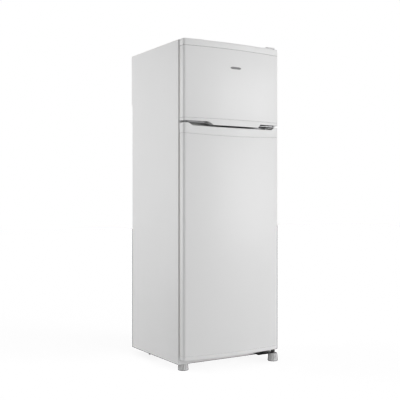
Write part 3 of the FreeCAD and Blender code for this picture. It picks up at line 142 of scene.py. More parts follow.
class CondenserSizes(bpy.types.PropertyGroup):
    tube_radius: bpy.props.FloatProperty(
        name="Tube radius", description="Radius of the serpentine tube", default=2.5 * MM, unit="LENGTH")
    bend_radius: bpy.props.FloatProperty(
        name="Bend radius", description="Radius of the tube's end bends", default=34.9 * MM, unit="LENGTH")
    wire_radius: bpy.props.FloatProperty(
        name="Wire radius", description="Radius of the upright wires", default=0.8 * MM, unit="LENGTH")


class FinishColours(bpy.types.PropertyGroup):
    enamel: bpy.props.FloatVectorProperty(
        name="Enamel", description="Painted steel", default=(0.80, 0.80, 0.80), subtype="COLOR")
    cap: bpy.props.FloatVectorProperty(
        name="Caps", description="Moulded door caps", default=(0.79, 0.79, 0.79), subtype="COLOR")
    liner: bpy.props.FloatVectorProperty(
        name="Liner", description="Vacuum-formed inside", default=(0.84, 0.84, 0.83), subtype="COLOR")
    gasket: bpy.props.FloatVectorProperty(
        name="Gasket", description="Magnetic door seal", default=(0.15, 0.15, 0.155), subtype="COLOR")
    grip: bpy.props.FloatVectorProperty(
        name="Grip", description="Finger grip insert", default=(0.22, 0.22, 0.225), subtype="COLOR")
    foot: bpy.props.FloatVectorProperty(
        name="Feet", description="Levelling feet", default=(0.62, 0.62, 0.62), subtype="COLOR")
    condenser: bpy.props.FloatVectorProperty(
        name="Condenser", description="Black condenser paint", default=(0.018, 0.018, 0.020),
        subtype="COLOR")


class StageSizes(bpy.types.PropertyGroup):
    heading: bpy.props.FloatProperty(
        name="Heading", description="Turn of the camera from straight on towards the hinge side",
        default=math.radians(31.511), subtype="ANGLE")
    camera: bpy.props.FloatVectorProperty(
        name="Camera", description="Place of the camera", default=(-1.9631, -3.1771, 0.814),
        subtype="TRANSLATION")
    lens: bpy.props.FloatProperty(name="Lens", description="Focal length in millimetres", default=65.07)
    lens_shift: bpy.props.FloatProperty(
        name="Lens shift", description="Upward shift as a share of the frame", default=-0.0051)
    side_light: bpy.props.FloatProperty(
        name="Side light", description="Strength of the softbox behind the left side", default=67.0)
    front_light: bpy.props.FloatProperty(
        name="Front light", description="Strength of the softbox before the right side", default=460.0)
    floor_light: bpy.props.FloatProperty(
        name="Floor light", description="Strength of the lamp that only lights the floor", default=9.0)
    ambient: bpy.props.FloatProperty(
        name="Ambient", description="Brightness of the surroundings", default=0.475)


SETTINGS = {
    "cabinet_sizes": CabinetSizes, "door_sizes": DoorSizes, "foot_sizes": FootSizes,
    "condenser_sizes": CondenserSizes, "finish_colours": FinishColours, "stage_sizes": StageSizes,
}


def setting(group):
    """One of the scene's groups of sizes."""
    return getattr(bpy.context.scene, group)


# ---------------------------------------------------------------- shader maths
class Value:
    """A shader value that takes part in Python arithmetic: each operation adds a Math node."""

    def __init__(self, finish, socket):
        self.finish = finish
        self.socket = socket

    def _math(self, operation, first, second):
        return self.finish.node("ShaderNodeMath", {"operation": operation}, {0: first, 1: second})

    def __add__(self, other):
        return self._math("ADD", self, other)

    def __radd__(self, other):
        return self._math("ADD", other, self)

    def __sub__(self, other):
        return self._math("SUBTRACT", self, other)

    def __rsub__(self, other):
        return self._math("SUBTRACT", other, self)

    def __mul__(self, other):
        return self._math("MULTIPLY", self, other)

    def __rmul__(self, other):
        return self._math("MULTIPLY", other, self)


class Finish:
    """One procedural material on a Principled surface."""

    def __init__(self, name, **surface):
        self.material = bpy.data.materials.new(name)
        self.material.use_nodes = True
        self.tree = self.material.node_tree
        self.tree.nodes.clear()
        self.surface = self.tree.nodes.new("ShaderNodeBsdfPrincipled")
        output = self.tree.nodes.new("ShaderNodeOutputMaterial")
        self.tree.links.new(self.surface.outputs[0], output.inputs[0])
        for socket, value in surface.items():
            self.put(self.surface.inputs[socket.replace("_", " ").title().replace("Ior", "IOR")], value)
        self.place = self.node("ShaderNodeTexCoord", output="Object")

    def put(self, socket, value):
        """Sets a socket's own value, or links one to it."""
        if isinstance(value, Value):
            self.tree.links.new(value.socket, socket)
        elif socket.type == "RGBA" and len(value) == 3:
            socket.default_value = (*value, 1.0)
        else:
            socket.default_value = value

    def node(self, kind, settings=None, sockets=None, output=0):
        """Adds one node: its settings are set first, then the values or links of its sockets."""
        node = self.tree.nodes.new(kind)
        for name, value in (settings or {}).items():
            if name == "stops":
                self._set_stops(node.color_ramp, value)
            else:
                setattr(node, name, value)
        for socket, value in (sockets or {}).items():
            self.put(node.inputs[socket], value)
        return Value(self, node.outputs[output])

    def _set_stops(self, ramp, stops):
        while len(ramp.elements) < len(stops):
            ramp.elements.new(1.0)
        for element, (position, level) in zip(ramp.elements, stops):
            element.position = position
            element.color = (level, level, level, 1.0)

    def noise(self, scale, detail=2.0, stretch=None):
        """Cloudy noise from 0 to 1; stretch scales the three directions."""
        place = self.place
        if stretch:
            place = self.node("ShaderNodeMapping", sockets={"Vector": place, "Scale": stretch})
        return self.node("ShaderNodeTexNoise", sockets={"Vector": place, "Scale": scale, "Detail": detail})

    def cells(self, scale, feature="F1", output="Distance"):
        return self.node("ShaderNodeTexVoronoi", {"feature": feature},
                         {"Vector": self.place, "Scale": scale}, output)

    def ramp(self, factor, *stops):
        """Grey levels between stops of (position, level)."""
        return self.node("ShaderNodeValToRGB", {"stops": stops}, {0: factor})

    def blend(self, factor, first, second):
        """A colour between two colours."""
        return self.node("ShaderNodeMix", {"data_type": "RGBA"}, {0: factor, 6: first, 7: second}, 2)

    def bump(self, height, strength, distance):
        normal = self.node("ShaderNodeBump", sockets={
            "Height": height, "Strength": strength, "Distance": distance})
        self.put(self.surface.inputs["Normal"], normal)

    def colour(self, value):
        self.put(self.surface.inputs["Base Color"], value)

    def roughness(self, value):
        self.put(self.surface.inputs["Roughness"], value)


def shade(colour, factor):
    """A colour made lighter or darker."""
    return tuple(min(1.0, level * factor) for level in colour)


# ---------------------------------------------------------------- finishes
def enamel(name, colour, peel=0.10):
    """Sprayed and baked enamel: faint clouding and orange peel under an even gloss."""
    finish = Finish(name, specular_ior_level=0.34, coat_weight=0.06, coat_roughness=0.16)
    cloud = finish.noise(2.3, 3.0)
    finish.colour(finish.blend(cloud, shade(colour, 0.985), shade(colour, 1.012)))
    finish.roughness(0.42 + finish.noise(7.0, 3.0) * 0.08)
    finish.bump(finish.noise(620.0, 1.5), peel, 0.0004)
    return finish.material


def moulded(name, colour, roughness=0.38, grain=1500.0, depth=0.14):
    """Injection-moulded plastic with a fine spark-eroded grain."""
    finish = Finish(name, specular_ior_level=0.36)
    cloud = finish.noise(9.0, 2.0)
    finish.colour(finish.blend(cloud, shade(colour, 0.97), shade(colour, 1.02)))
    finish.roughness(roughness + finish.noise(30.0, 2.0) * 0.08)
    finish.bump(finish.noise(grain, 2.0), depth, 0.00025)
    return finish.material


def formed_liner(name, colour):
    """Glossy vacuum-formed sheet with slight thickness ripples."""
    finish = Finish(name, specular_ior_level=0.5)
    cloud = finish.noise(3.0, 2.0)
    finish.colour(finish.blend(cloud, shade(colour, 0.975), shade(colour, 1.0)))
    finish.roughness(0.24 + finish.noise(14.0, 2.0) * 0.10)
    finish.bump(finish.noise(38.0, 2.0), 0.12, 0.0012)
    return finish.material


def galvanised(name):
    """Zinc-coated sheet with its frosty crystal pattern."""
    finish = Finish(name, metallic=0.85)
    crystal = finish.cells(90.0, output="Color")
    level = finish.node("ShaderNodeRGBToBW", sockets={0: crystal})
    finish.colour(finish.blend(level, (0.46, 0.47, 0.48), (0.62, 0.63, 0.64)))
    finish.roughness(0.34 + level * 0.22)
    finish.bump(finish.noise(240.0, 3.0), 0.12, 0.0004)
    return finish.material


def foam(name):
    """Cut faces of rigid foam with small closed cells, coloured darker towards the low edges of the cells as
    painted shade.
    """
    finish = Finish(name, roughness=0.9, specular_ior_level=0.2)
    cell = finish.cells(1100.0)
    # painted shade: the colour darkens where the cell bump is lowest, between the cells
    finish.colour(finish.blend(cell * 1.3, (0.80, 0.70, 0.46), (0.66, 0.55, 0.32)))
    finish.bump(1 - cell, 0.5, 0.0008)
    return finish.material


def rolled_metal(name, colour, roughness, grain=(1.0, 60.0, 60.0), metallic=1.0):
    """Bare or plated metal with the fine drawn lines of rolling."""
    finish = Finish(name, metallic=metallic)
    lines = finish.noise(26.0, 4.0, grain)
    finish.colour(finish.blend(lines, shade(colour, 0.86), shade(colour, 1.06)))
    finish.roughness(roughness + lines * 0.16)
    finish.bump(lines, 0.08, 0.0003)
    return finish.material


def black_paint(name, colour, roughness=0.34, dust=0.16):
    """Black stoving paint: a light orange peel, and dust that has settled in clouds."""
    finish = Finish(name, specular_ior_level=0.5)
    settled = finish.ramp(finish.noise(16.0, 5.0), (0.45, 0.0), (0.8, 1.0))
    finish.colour(finish.blend(settled * dust, colour, (0.32, 0.30, 0.28)))
    finish.roughness(roughness + settled * 0.25)
    finish.bump(finish.noise(430.0, 2.0), 0.16, 0.0005)
    return finish.material


def rubber(name, colour, roughness=0.7):
    """Soft matt polymer with a powdery grain."""
    finish = Finish(name, specular_ior_level=0.3)
    bloom = finish.noise(60.0, 4.0)
    finish.colour(finish.blend(bloom, shade(colour, 0.85), shade(colour, 1.15)))
    finish.roughness(roughness + bloom * 0.15)
    finish.bump(finish.noise(900.0, 2.0), 0.12, 0.0003)
    return finish.material


def copper(name):
    """Drawn copper tube, bright in places and tarnished in others."""
    finish = Finish(name, metallic=1.0)
    tarnish = finish.ramp(finish.noise(38.0, 5.0), (0.35, 0.0), (0.75, 1.0))
    finish.colour(finish.blend(tarnish, (0.80, 0.36, 0.20), (0.34, 0.15, 0.09)))
    finish.roughness(0.24 + tarnish * 0.3)
    finish.bump(finish.noise(300.0, 2.0), 0.06, 0.0003)
    return finish.material


def glass(name):
    """Toughened float glass, faintly green."""
    finish = Finish(name, transmission_weight=1.0, ior=1.5, base_color=(0.95, 0.985, 0.97))
    finish.roughness(0.02 + finish.noise(5.0, 3.0) * 0.04)
    return finish.material


def clear(name, colour=(0.965, 0.98, 0.99), roughness=0.05, weight=0.92):
    """Clear moulded polystyrene."""
    finish = Finish(name, transmission_weight=weight, ior=1.45, base_color=colour)
    finish.roughness(roughness + finish.noise(12.0, 3.0) * 0.06)
    finish.bump(finish.noise(55.0, 2.0), 0.05, 0.0006)
    return finish.material


def build_finishes():
    """Every material slot of the record, by name."""
    colours = setting("finish_colours")
    return {
        "white_enamel": enamel("white_enamel_finish", colours.enamel),
        "white_rail": enamel("white_rail_finish", shade(colours.enamel, 0.97), 0.06),
        "galvanised_sheet": galvanised("galvanised_finish"),
        "insulation_foam": foam("foam_finish"),
        "white_liner": formed_liner("liner_finish", colours.liner),
        "white_cap": moulded("cap_finish", colours.cap, 0.42),
        "evaporator_aluminium": rolled_metal("evaporator_finish", (0.74, 0.75, 0.76), 0.3),
        "compressor_black": black_paint("compressor_finish", (0.012, 0.012, 0.013), 0.22, 0.10),
        "motor_iron": rolled_metal("motor_finish", (0.22, 0.21, 0.20), 0.5, (1.0, 1.0, 240.0)),
        "black_steel": black_paint("black_steel_finish", (0.02, 0.02, 0.021)),
        "zinc_steel": rolled_metal("zinc_finish", (0.38, 0.38, 0.39), 0.36),
        "black_rubber": rubber("rubber_finish", (0.02, 0.02, 0.02)),
        "black_plastic": moulded("black_plastic_finish", (0.025, 0.025, 0.027), 0.45),
        "condenser_black": black_paint("condenser_finish", colours.condenser, 0.36, 0.22),
        "copper": copper("copper_finish"),
        "tray_plastic": moulded("tray_finish", (0.50, 0.51, 0.52), 0.42),
        "gasket_grey": rubber("gasket_finish", colours.gasket, 0.55),
        "grip_grey": moulded("grip_finish", colours.grip, 0.4),
        "foot_plastic": moulded("foot_finish", colours.foot, 0.42),
        "shelf_glass": glass("shelf_glass_finish"),
        "trim_white": moulded("trim_finish", shade(colours.liner, 0.98), 0.3),
        "clear_plastic": clear("clear_finish"),
        "lamp_diffuser": clear("diffuser_finish", (0.93, 0.94, 0.94), 0.35, 0.7),
        "bulb_glass": clear("bulb_finish", (0.96, 0.96, 0.95), 0.12, 0.85),
    }


FINISHES = {}


def finish_of(slot):
    """The material of a record's slot; all are built on the first call."""
    if not FINISHES:
        FINISHES.update(build_finishes())
    return FINISHES[slot]


# ---------------------------------------------------------------- mesh helpers
def new_mesh(name, vertices, faces):
    mesh = bpy.data.meshes.new(name)
    mesh.from_pydata([tuple(v) for v in vertices], [], faces)
    return mesh


def clean(mesh, closed=True):
    """Merges doubles, drops empty faces and points the faces outwards."""
    bm = bmesh.new()
    bm.from_mesh(mesh)
    bmesh.ops.remove_doubles(bm, verts=bm.verts, dist=DOUBLES)
    bmesh.ops.dissolve_degenerate(bm, edges=bm.edges, dist=DOUBLES)
    if closed:
        bmesh.ops.recalc_face_normals(bm, faces=bm.faces)
    bm.to_mesh(mesh)
    bm.free()
    return mesh


def soften(mesh, angle=SMOOTH_ANGLE):
    """Smooth shading with crisp edges where faces meet at a large angle."""
    mesh.polygons.foreach_set("use_smooth", [True] * len(mesh.polygons))
    mesh.set_sharp_from_angle(angle=angle)


def place_piece(name, mesh, body, slot, replaced=(), angle=SMOOTH_ANGLE):
    """Makes a finished object that rides on a body and stands for CAD nodes."""
    mesh.name = name
    mesh.materials.clear()
    mesh.materials.append(finish_of(slot))
    soften(mesh, angle)
    piece = bpy.data.objects.new(name, mesh)
    bpy.context.scene.collection.objects.link(piece)
    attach(piece, body)
    if replaced:
        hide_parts(*replaced)
    return piece


def with_modifier(mesh, kind, **settings):
    """A mesh with one modifier applied."""
    holder = bpy.data.objects.new("holder", mesh)
    bpy.context.scene.collection.objects.link(holder)
    modifier = holder.modifiers.new("step", kind)
    for name, value in settings.items():
        setattr(modifier, name, value)
    return evaluated(holder)


def evaluated(holder):
    """The plain mesh that a holder object evaluates to; the holder is removed."""
    bpy.context.view_layer.update()
    graph = bpy.context.evaluated_depsgraph_get()
    mesh = bpy.data.meshes.new_from_object(holder.evaluated_get(graph), depsgraph=graph)
    bpy.data.objects.remove(holder)
    return mesh


def joined(*meshes):
    """One mesh from several."""
    bm = bmesh.new()
    for mesh in meshes:
        bm.from_mesh(mesh)
    result = bpy.data.meshes.new("joined")
    bm.to_mesh(result)
    bm.free()
    return result


def merged_copy(node):
    """A CAD node's mesh with its loose triangles merged and its flat faces whole, as a bmesh."""
    bm = bmesh.new()
    bm.from_mesh(frame["nodes"][node].data)
    bmesh.ops.remove_doubles(bm, verts=bm.verts, dist=CAD_DOUBLES)
    bmesh.ops.dissolve_degenerate(bm, edges=bm.edges, dist=CAD_DOUBLES)
    bmesh.ops.dissolve_limit(bm, angle_limit=math.radians(0.5), verts=bm.verts, edges=bm.edges)
    return bm


def rounded_copy(node, width, segments=2, limit=math.radians(50)):
    """A CAD node's mesh with its sharp edges rounded."""
    bm = merged_copy(node)
    sharp = [edge for edge in bm.edges if edge.is_manifold and edge.calc_face_angle(0) > limit]
    bmesh.ops.bevel(bm, geom=sharp, offset=width, segments=segments, profile=0.5, affect="EDGES",
                    clamp_overlap=True, harden_normals=False)
    mesh = bpy.data.meshes.new(node)
    bm.to_mesh(mesh)
    bm.free()
    return mesh


def solid_boxes(node):
    """Lowest and highest corner of each separate solid of a CAD node."""
    bm = bmesh.new()
    bm.from_mesh(frame["nodes"][node].data)
    bmesh.ops.remove_doubles(bm, verts=bm.verts, dist=CAD_DOUBLES)
    left = set(bm.verts)
    boxes = []
    while left:
        reached = [left.pop()]
        low = high = reached[0].co.copy()
        while reached:
            vertex = reached.pop()
            low = Vector(map(min, low, vertex.co))
            high = Vector(map(max, high, vertex.co))
            for edge in vertex.link_edges:
                other = edge.other_vert(vertex)
                if other in left:
                    left.remove(other)
                    reached.append(other)
        boxes.append((low, high))
    bm.free()
    return sorted(boxes, key=lambda box: tuple(round(value, 5) for value in box[0]))


def grid_faces(rows, columns, closed=False):
    """Quads over a grid of points; closed joins the last column to the first."""
    faces = []
    for row in range(rows - 1):
        for column in range(columns if closed else columns - 1):
            after = (column + 1) % columns
            faces.append((row * columns + column, row * columns + after,
                          (row + 1) * columns + after, (row + 1) * columns + column))
    return faces


def circle(radius, height, steps):
    """Points round a circle about Z."""
    angles = [2 * math.pi * step / steps for step in range(steps)]
    return [Vector((radius * math.cos(angle), radius * math.sin(angle), height)) for angle in angles]


def underside(low, high):
    """The middle of the underside of a box."""
    return Vector(((low.x + high.x) / 2, (low.y + high.y) / 2, low.z))


def quarter(steps=4):
    """Sine and 1 - cosine over a quarter turn, for rounding an edge."""
    angles = [math.pi / 2 * step / steps for step in range(steps + 1)]
    return [(math.sin(angle), 1 - math.cos(angle)) for angle in angles]


def eased_line(points, ease):
    """Height along x over straight runs, with each corner eased over a distance."""
    def height(x):
        for before, corner, after in zip(points, points[1:], points[2:]):
            if abs(x - corner[0]) < ease:
                share = (x - corner[0] + ease) / (2 * ease)
                start = _along(before, corner, corner[0] - ease)
                end = _along(corner, after, corner[0] + ease)
                return start * (1 - share) ** 2 + 2 * corner[1] * share * (1 - share) + end * share ** 2
        for before, after in zip(points, points[1:]):
            if x <= after[0]:
                return _along(before, after, x)
        return points[-1][1]
    return height


def _along(first, second, x):
    if second[0] == first[0]:
        return second[1]
    return first[1] + (second[1] - first[1]) * (x - first[0]) / (second[0] - first[0])


# ---------------------------------------------------------------- door shapes
class DoorPlan:
    """Plan of a door seen from above: a wide bow with a round corner at each end and a flat back."""

    def __init__(self, door):
        sizes = setting("door_sizes")
        low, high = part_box(f"{door}_skin")
        self.half = high.x
        self.apex = low.y
        self.back = high.y
        self.corner = sizes.corner_radius
        self.radius = (self.half ** 2 + sizes.bow ** 2) / (2 * sizes.bow)
        self.centre = self.apex + self.radius
        self.corner_x = self.half - self.corner
        inner = self.radius - self.corner
        self.corner_y = self.centre - math.sqrt(inner ** 2 - self.corner_x ** 2)
        self.bow_end = self.corner_x * self.radius / inner

    def stations(self, extra=()):
        """Places along x, dense round the corners and at the extra ones."""
        steps = 48
        places = [self.bow_end * (2 * step / steps - 1) for step in range(steps + 1)]
        first = math.asin((self.bow_end - self.corner_x) / self.corner)
        for step in range(1, 11):
            angle = first + (math.pi / 2 - first) * step / 10
            x = self.corner_x + self.corner * math.sin(angle)
            places += [x, -x]
        places += [x for x in extra if abs(x) < self.bow_end]
        places.sort()
        return [x for index, x in enumerate(places) if index == 0 or x - places[index - 1] > 1e-5]

    def front(self, x):
        """The front surface at x: its depth, and the outward direction there."""
        side = 1 if x > 0 else -1
        if abs(x) <= self.bow_end:
            y = self.centre - math.sqrt(self.radius ** 2 - x ** 2)
            return y, Vector((x, y - self.centre, 0)) / self.radius
        across = min(1.0, (abs(x) - self.corner_x) / self.corner)
        forward = math.sqrt(max(0.0, 1 - across ** 2))
        return self.corner_y - self.corner * forward, Vector((side * across, -forward, 0))

    def outline(self, extra=()):
        """Closed outline as (x, y, outward direction): along the front, then along the back."""
        stations = self.stations(extra)
        front = [(x, *self.front(x)) for x in stations]
        back = []
        for x in reversed(stations):
            out = Vector((0, 1, 0))
            if abs(abs(x) - self.half) < 1e-6:
                out = Vector((math.copysign(1, x), 1, 0))
            back.append((x, self.back, out))
        return front + back


def cap_mesh(plan, rim, closed_at, edge, wall, extra=(), front_bevel=None):
    """A hollow end cap: open at its rim, closed at the other end, both of them heights along x.

    edge is the rounding of the closed end, and front_bevel, where given, is a chamfer's size along x.
    """
    outline = plan.outline(extra)
    count = len(outline)
    front_count = count // 2
    up = 1 if closed_at(0) > rim(0) else -1
    seam = setting("door_sizes").skin_edge
    levels = [("rim", seam * c, seam * (1 - s)) for s, c in quarter(3)]
    levels += [("end", edge * (1 - s), edge * c) for s, c in quarter(4)]
    vertices = []

    def ring(kind, along, inset, bevelled):
        for index, (x, y, out) in enumerate(outline):
            grow = 1.0
            if kind == "end" and bevelled and front_bevel and index < front_count:
                grow = max(1.0, front_bevel(x) / edge)
            z = rim(x) + up * along if kind == "rim" else closed_at(x) - up * along * grow
            shift = out * inset * grow
            vertices.append(Vector((x - shift.x, y - shift.y, z)))

    for kind, along, inset in levels:
        ring(kind, along, inset, True)
    ring("rim", 0.0, wall, False)
    ring("end", wall, wall, False)
    rows = len(levels)
    faces = grid_faces(rows, count, closed=True)
    inner = rows * count
    faces += [(a + inner, b + inner, c + inner, d + inner)
              for a, b, c, d in grid_faces(2, count, closed=True)]
    faces += [(index, (index + 1) % count, inner + (index + 1) % count, inner + index)
              for index in range(count)]
    for start in ((rows - 1) * count, inner + count):
        for index in range(front_count - 1):
            far = count - 1 - index
            faces.append((start + index, start + index + 1, start + far - 1, start + far))
    return clean(new_mesh("cap", vertices, faces))


def skin_mesh(plan, low, high, extra=()):
    """The steel wrap: front and sides in one sheet, turned in along its edges and behind."""
    edge = setting("door_sizes").skin_edge
    hem, fold, turn_in, sheet = 9 * MM, 1.2 * MM, 4 * MM, 0.8 * MM
    inside = plan.back - fold
    hems = [[(side * (plan.half - hem), inside, Vector((0, 1, 0))),
             (side * (plan.half - fold), inside, Vector((side * 0.5, 1, 0))),
             (side * plan.half, inside - fold, Vector((side, 0.5, 0)))] for side in (-1, 1)]
    front = [(x, *plan.front(x)) for x in plan.stations(extra)]
    path = hems[0] + front + hems[1][::-1]
    profile = [("low", 0.0, turn_in)]
    profile += [("low", edge * c, edge * (1 - s)) for s, c in quarter(3)]
    profile += [("high", edge * (1 - s), edge * c) for s, c in quarter(3)]
    profile += [("high", 0.0, turn_in)]
    vertices = []
    for kind, along, inset in profile:
        for x, y, out in path:
            z = low(x) + along if kind == "low" else high(x) - along
            vertices.append(Vector((x - out.x * inset, y - out.y * inset, z)))
    mesh = clean(new_mesh("skin", vertices, grid_faces(len(profile), len(path))))
    return with_modifier(mesh, "SOLIDIFY", thickness=sheet, offset=-1.0, use_even_offset=False)


def level(height):
    """The same height all along x."""
    return lambda x: height


def lifted(height, gap):
    """A height along x moved by a gap."""
    return lambda x: height(x) + gap


def painted_seam_shade(plan, seam, extra):
    """A dark strip behind the open line between a skin and a cap: painted shade for the groove of the seam.
    """
    outline = plan.outline(extra)
    half = 2.5 * MM
    face = 0.8 * MM
    vertices = []
    for rise, inset in ((-half, face), (half, face), (half, 2.2 * face), (-half, 2.2 * face), (-half, face)):
        vertices += [Vector((x - out.x * inset, y - out.y * inset, seam(x) + rise)) for x, y, out in outline]
    return clean(new_mesh("strip", vertices, grid_faces(5, len(outline), closed=True)))


def build_door_panel(door, heights, extra, gaps, roundings, front_bevel=None):
    """Skin, both end caps, and dark strips behind their seams that paint the shade in the seam grooves.

    The four heights run along x, bottom to top; gaps and roundings are for the lower cap, then the upper.
    """
    low, low_seam, high_seam, high = heights
    plan = DoorPlan(door)
    wall = setting("door_sizes").cap_wall
    skin = skin_mesh(plan, lifted(low_seam, gaps[0]), lifted(high_seam, -gaps[1]), extra)
    place_piece(f"{door}_steel_skin", skin, door, "white_enamel", [f"{door}_skin"])
    bottom = cap_mesh(plan, lifted(low_seam, -gaps[0]), low, roundings[0], wall, extra)
    place_piece(f"{door}_lower_cap", bottom, door, "white_cap", [f"{door}_bottom_cap"])
    top = cap_mesh(plan, lifted(high_seam, gaps[1]), high, roundings[1], wall, extra, front_bevel)
    place_piece(f"{door}_upper_cap", top, door, "white_cap", [f"{door}_top_cap"])
    seam_shades = joined(painted_seam_shade(plan, low_seam, extra), painted_seam_shade(plan, high_seam, extra))
    # painted shade: dark strips behind the seams darken their open lines
    place_piece(f"{door}_seam_tapes", seam_shades, door, "gasket_grey")


def around(places, reach, count=5):
    """A few stations on each side of some places."""
    return [place + reach * (2 * step / (count - 1) - 1) for place in places for step in range(count)]


class FREEZERDOOR_OT_build(bpy.types.Operator):
    """Freezer door: bowed skin, a top cap with a chamfered middle, and a bottom cap with two scoops"""
    bl_idname = "refrigerator.freezer_door"
    bl_label = "Freezer Door"

    def execute(self, context):
        sizes = setting("door_sizes")
        cap_low, cap_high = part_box("freezer_door_bottom_cap")
        top_low, top_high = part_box("freezer_door_top_cap")
        half = cap_high.x
        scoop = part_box("freezer_grip_insert")[1].z
        left = (-half + 125 * MM, -half + 158 * MM)
        right = (half - 135 * MM, half - 120 * MM)
        low = eased_line([(-half, scoop), (left[0], scoop), (left[1], cap_low.z), (right[0], cap_low.z),
                          (right[1], scoop), (half, scoop)], 5 * MM)
        raised = 100 * MM
        slope = 10 * MM
        dip = top_high.z - sizes.top_step
        high = eased_line([(-half, top_high.z), (-half + raised, top_high.z), (-half + raised + slope, dip),
                           (half - raised - slope, dip), (half - raised, top_high.z),
                           (half, top_high.z)], 3 * MM)
        bevel = eased_line([(-half, 0), (-half + raised, 0), (-half + raised + slope, sizes.top_bevel),
                            (half - raised - slope, sizes.top_bevel), (half - raised, 0), (half, 0)],
                           3 * MM)
        extra = around((*left, *right, -half + raised, half - raised, -half + raised + slope,
                        half - raised - slope), 5 * MM)
        heights = (low, level(cap_high.z), level(top_low.z), high)
        gaps = (sizes.seam_gap, 2 * sizes.seam_gap)
        roundings = (0.8 * MM, 1.2 * MM)
        build_door_panel("freezer_door", heights, extra, gaps, roundings, bevel)
        build_grip()
        build_badge()
        # painted shade: a black strip that darkens the gap between the doors
        build_gap_shade_strip(low)
        build_foam_core()
        return {"FINISHED"}


class FRIDGEDOOR_OT_build(bpy.types.Operator):
    """Fridge door: bowed skin, a plain bottom cap, and a top cap with an arched seam and raised ends"""
    bl_idname = "refrigerator.fridge_door"
    bl_label = "Fridge Door"

    def execute(self, context):
        sizes = setting("door_sizes")
        cap_low, cap_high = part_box("fridge_door_bottom_cap")
        top_low, top_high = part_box("fridge_door_top_cap")
        half = cap_high.x
        ledge = top_high.z - 16 * MM
        foot = half - 45 * MM
        horn = half - 26 * MM
        line = eased_line([(-half, top_high.z), (-horn, top_high.z), (-foot, ledge + sizes.ledge_smile),
                           (foot, ledge + sizes.ledge_smile), (horn, top_high.z), (half, top_high.z)],
                          4 * MM)

        def high(x):
            inside = min(1.0, abs(x) / foot)
            return line(x) - sizes.ledge_smile * (1 - inside ** 2)

        def seam(x):
            return top_low.z - sizes.seam_arch * (1 - (x / half) ** 2)

        heights = (level(cap_low.z), level(cap_high.z), seam, high)
        extra = around((-horn, -foot, foot, horn), 4 * MM)
        gaps = (0.4 * sizes.seam_gap, sizes.seam_gap)
        roundings = (3.6 * MM, 0.8 * MM)
        build_door_panel("fridge_door", heights, extra, gaps, roundings)
        return {"FINISHED"}


def rounded_rectangle(low, high, radius, steps=6):
    """Closed outline as (point, outward direction) round a rectangle with rounded corners."""
    points = []
    corners = ((high.x - radius, high.y - radius, 0), (low.x + radius, high.y - radius, 1),
               (low.x + radius, low.y + radius, 2), (high.x - radius, low.y + radius, 3))
    for x, y, turn in corners:
        for step in range(steps + 1):
            angle = math.pi / 2 * (turn + step / steps)
            out = Vector((math.cos(angle), math.sin(angle), 0))
            points.append((Vector((x, y, 0)) + out * radius, out))
    return points


def stacked(outline, levels):
    """A closed solid from rings of (height, inset) round an outline; both ends are filled."""
    count = len(outline)
    vertices = [Vector((p.x - out.x * inset, p.y - out.y * inset, z))
                for z, inset in levels for p, out in outline]
    faces = grid_faces(len(levels), count, closed=True)
    faces.append(tuple(reversed(range(count))))
    last = (len(levels) - 1) * count
    faces.append(tuple(range(last, last + count)))
    return clean(new_mesh("stack", vertices, faces))


def build_grip():
    """The grey finger grip let into the freezer door's left scoop: a pan that opens downwards."""
    low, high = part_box("freezer_grip_insert")
    outline = rounded_rectangle(low, high, 9 * MM)
    wall = 2 * MM
    lip = 1.2 * MM
    levels = [(high.z, 0.4 * MM), (high.z - 0.4 * MM, 0), (low.z + lip, 0)]
    levels += [(low.z + lip * (1 - s), lip * c) for s, c in quarter(3)]
    levels += [(low.z, wall), (low.z + 0.5 * MM, wall + 0.4 * MM), (high.z - wall - 3 * MM, wall + 1 * MM),
               (high.z - wall, wall + 4 * MM)]
    place_piece("finger_grip", stacked(outline, levels), "freezer_door", "grip_grey",
                ["freezer_grip_insert"])


def build_gap_shade_strip(low):
    """A thin black strip under the freezer door: painted shade that darkens the gap between the doors."""
    plan = DoorPlan("freezer_door")
    inset, thick, proud = 1.2 * MM, 0.5 * MM, 0.2 * MM
    left_end, right_end = -114 * MM, 138 * MM
    stations = [x for x in plan.stations() if left_end < x < right_end]
    vertices = []
    for x in stations:
        front = plan.front(x)[0] + inset
        bottom = low(x) - proud
        vertices += [Vector((x, front, bottom)), Vector((x, plan.back - inset, bottom)),
                     Vector((x, plan.back - inset, bottom + thick)), Vector((x, front, bottom + thick))]
    faces = grid_faces(len(stations), 4, closed=True)
    last = len(vertices) - 4
    faces += [(3, 2, 1, 0), (last, last + 1, last + 2, last + 3)]
    # painted shade: this black strip stands for the shade in the gap under the freezer door
    place_piece("underside_trim", clean(new_mesh("trim", vertices, faces)), "freezer_door", "black_plastic")


def build_foam_core():
    """The freezer door's foam, lowered at the top so that the cap's chamfer clears it."""
    drop, reach = 7 * MM, 0.5 * MM
    bm = merged_copy("freezer_door_foam")
    top = max(vertex.co.z for vertex in bm.verts)
    for vertex in bm.verts:
        if vertex.co.z > top - reach:
            vertex.co.z -= drop
    mesh = bpy.data.meshes.new("foam_core")
    bm.to_mesh(mesh)
    bm.free()
    place_piece("freezer_door_foam_core", mesh, "freezer_door", "insulation_foam", ["freezer_door_foam"])


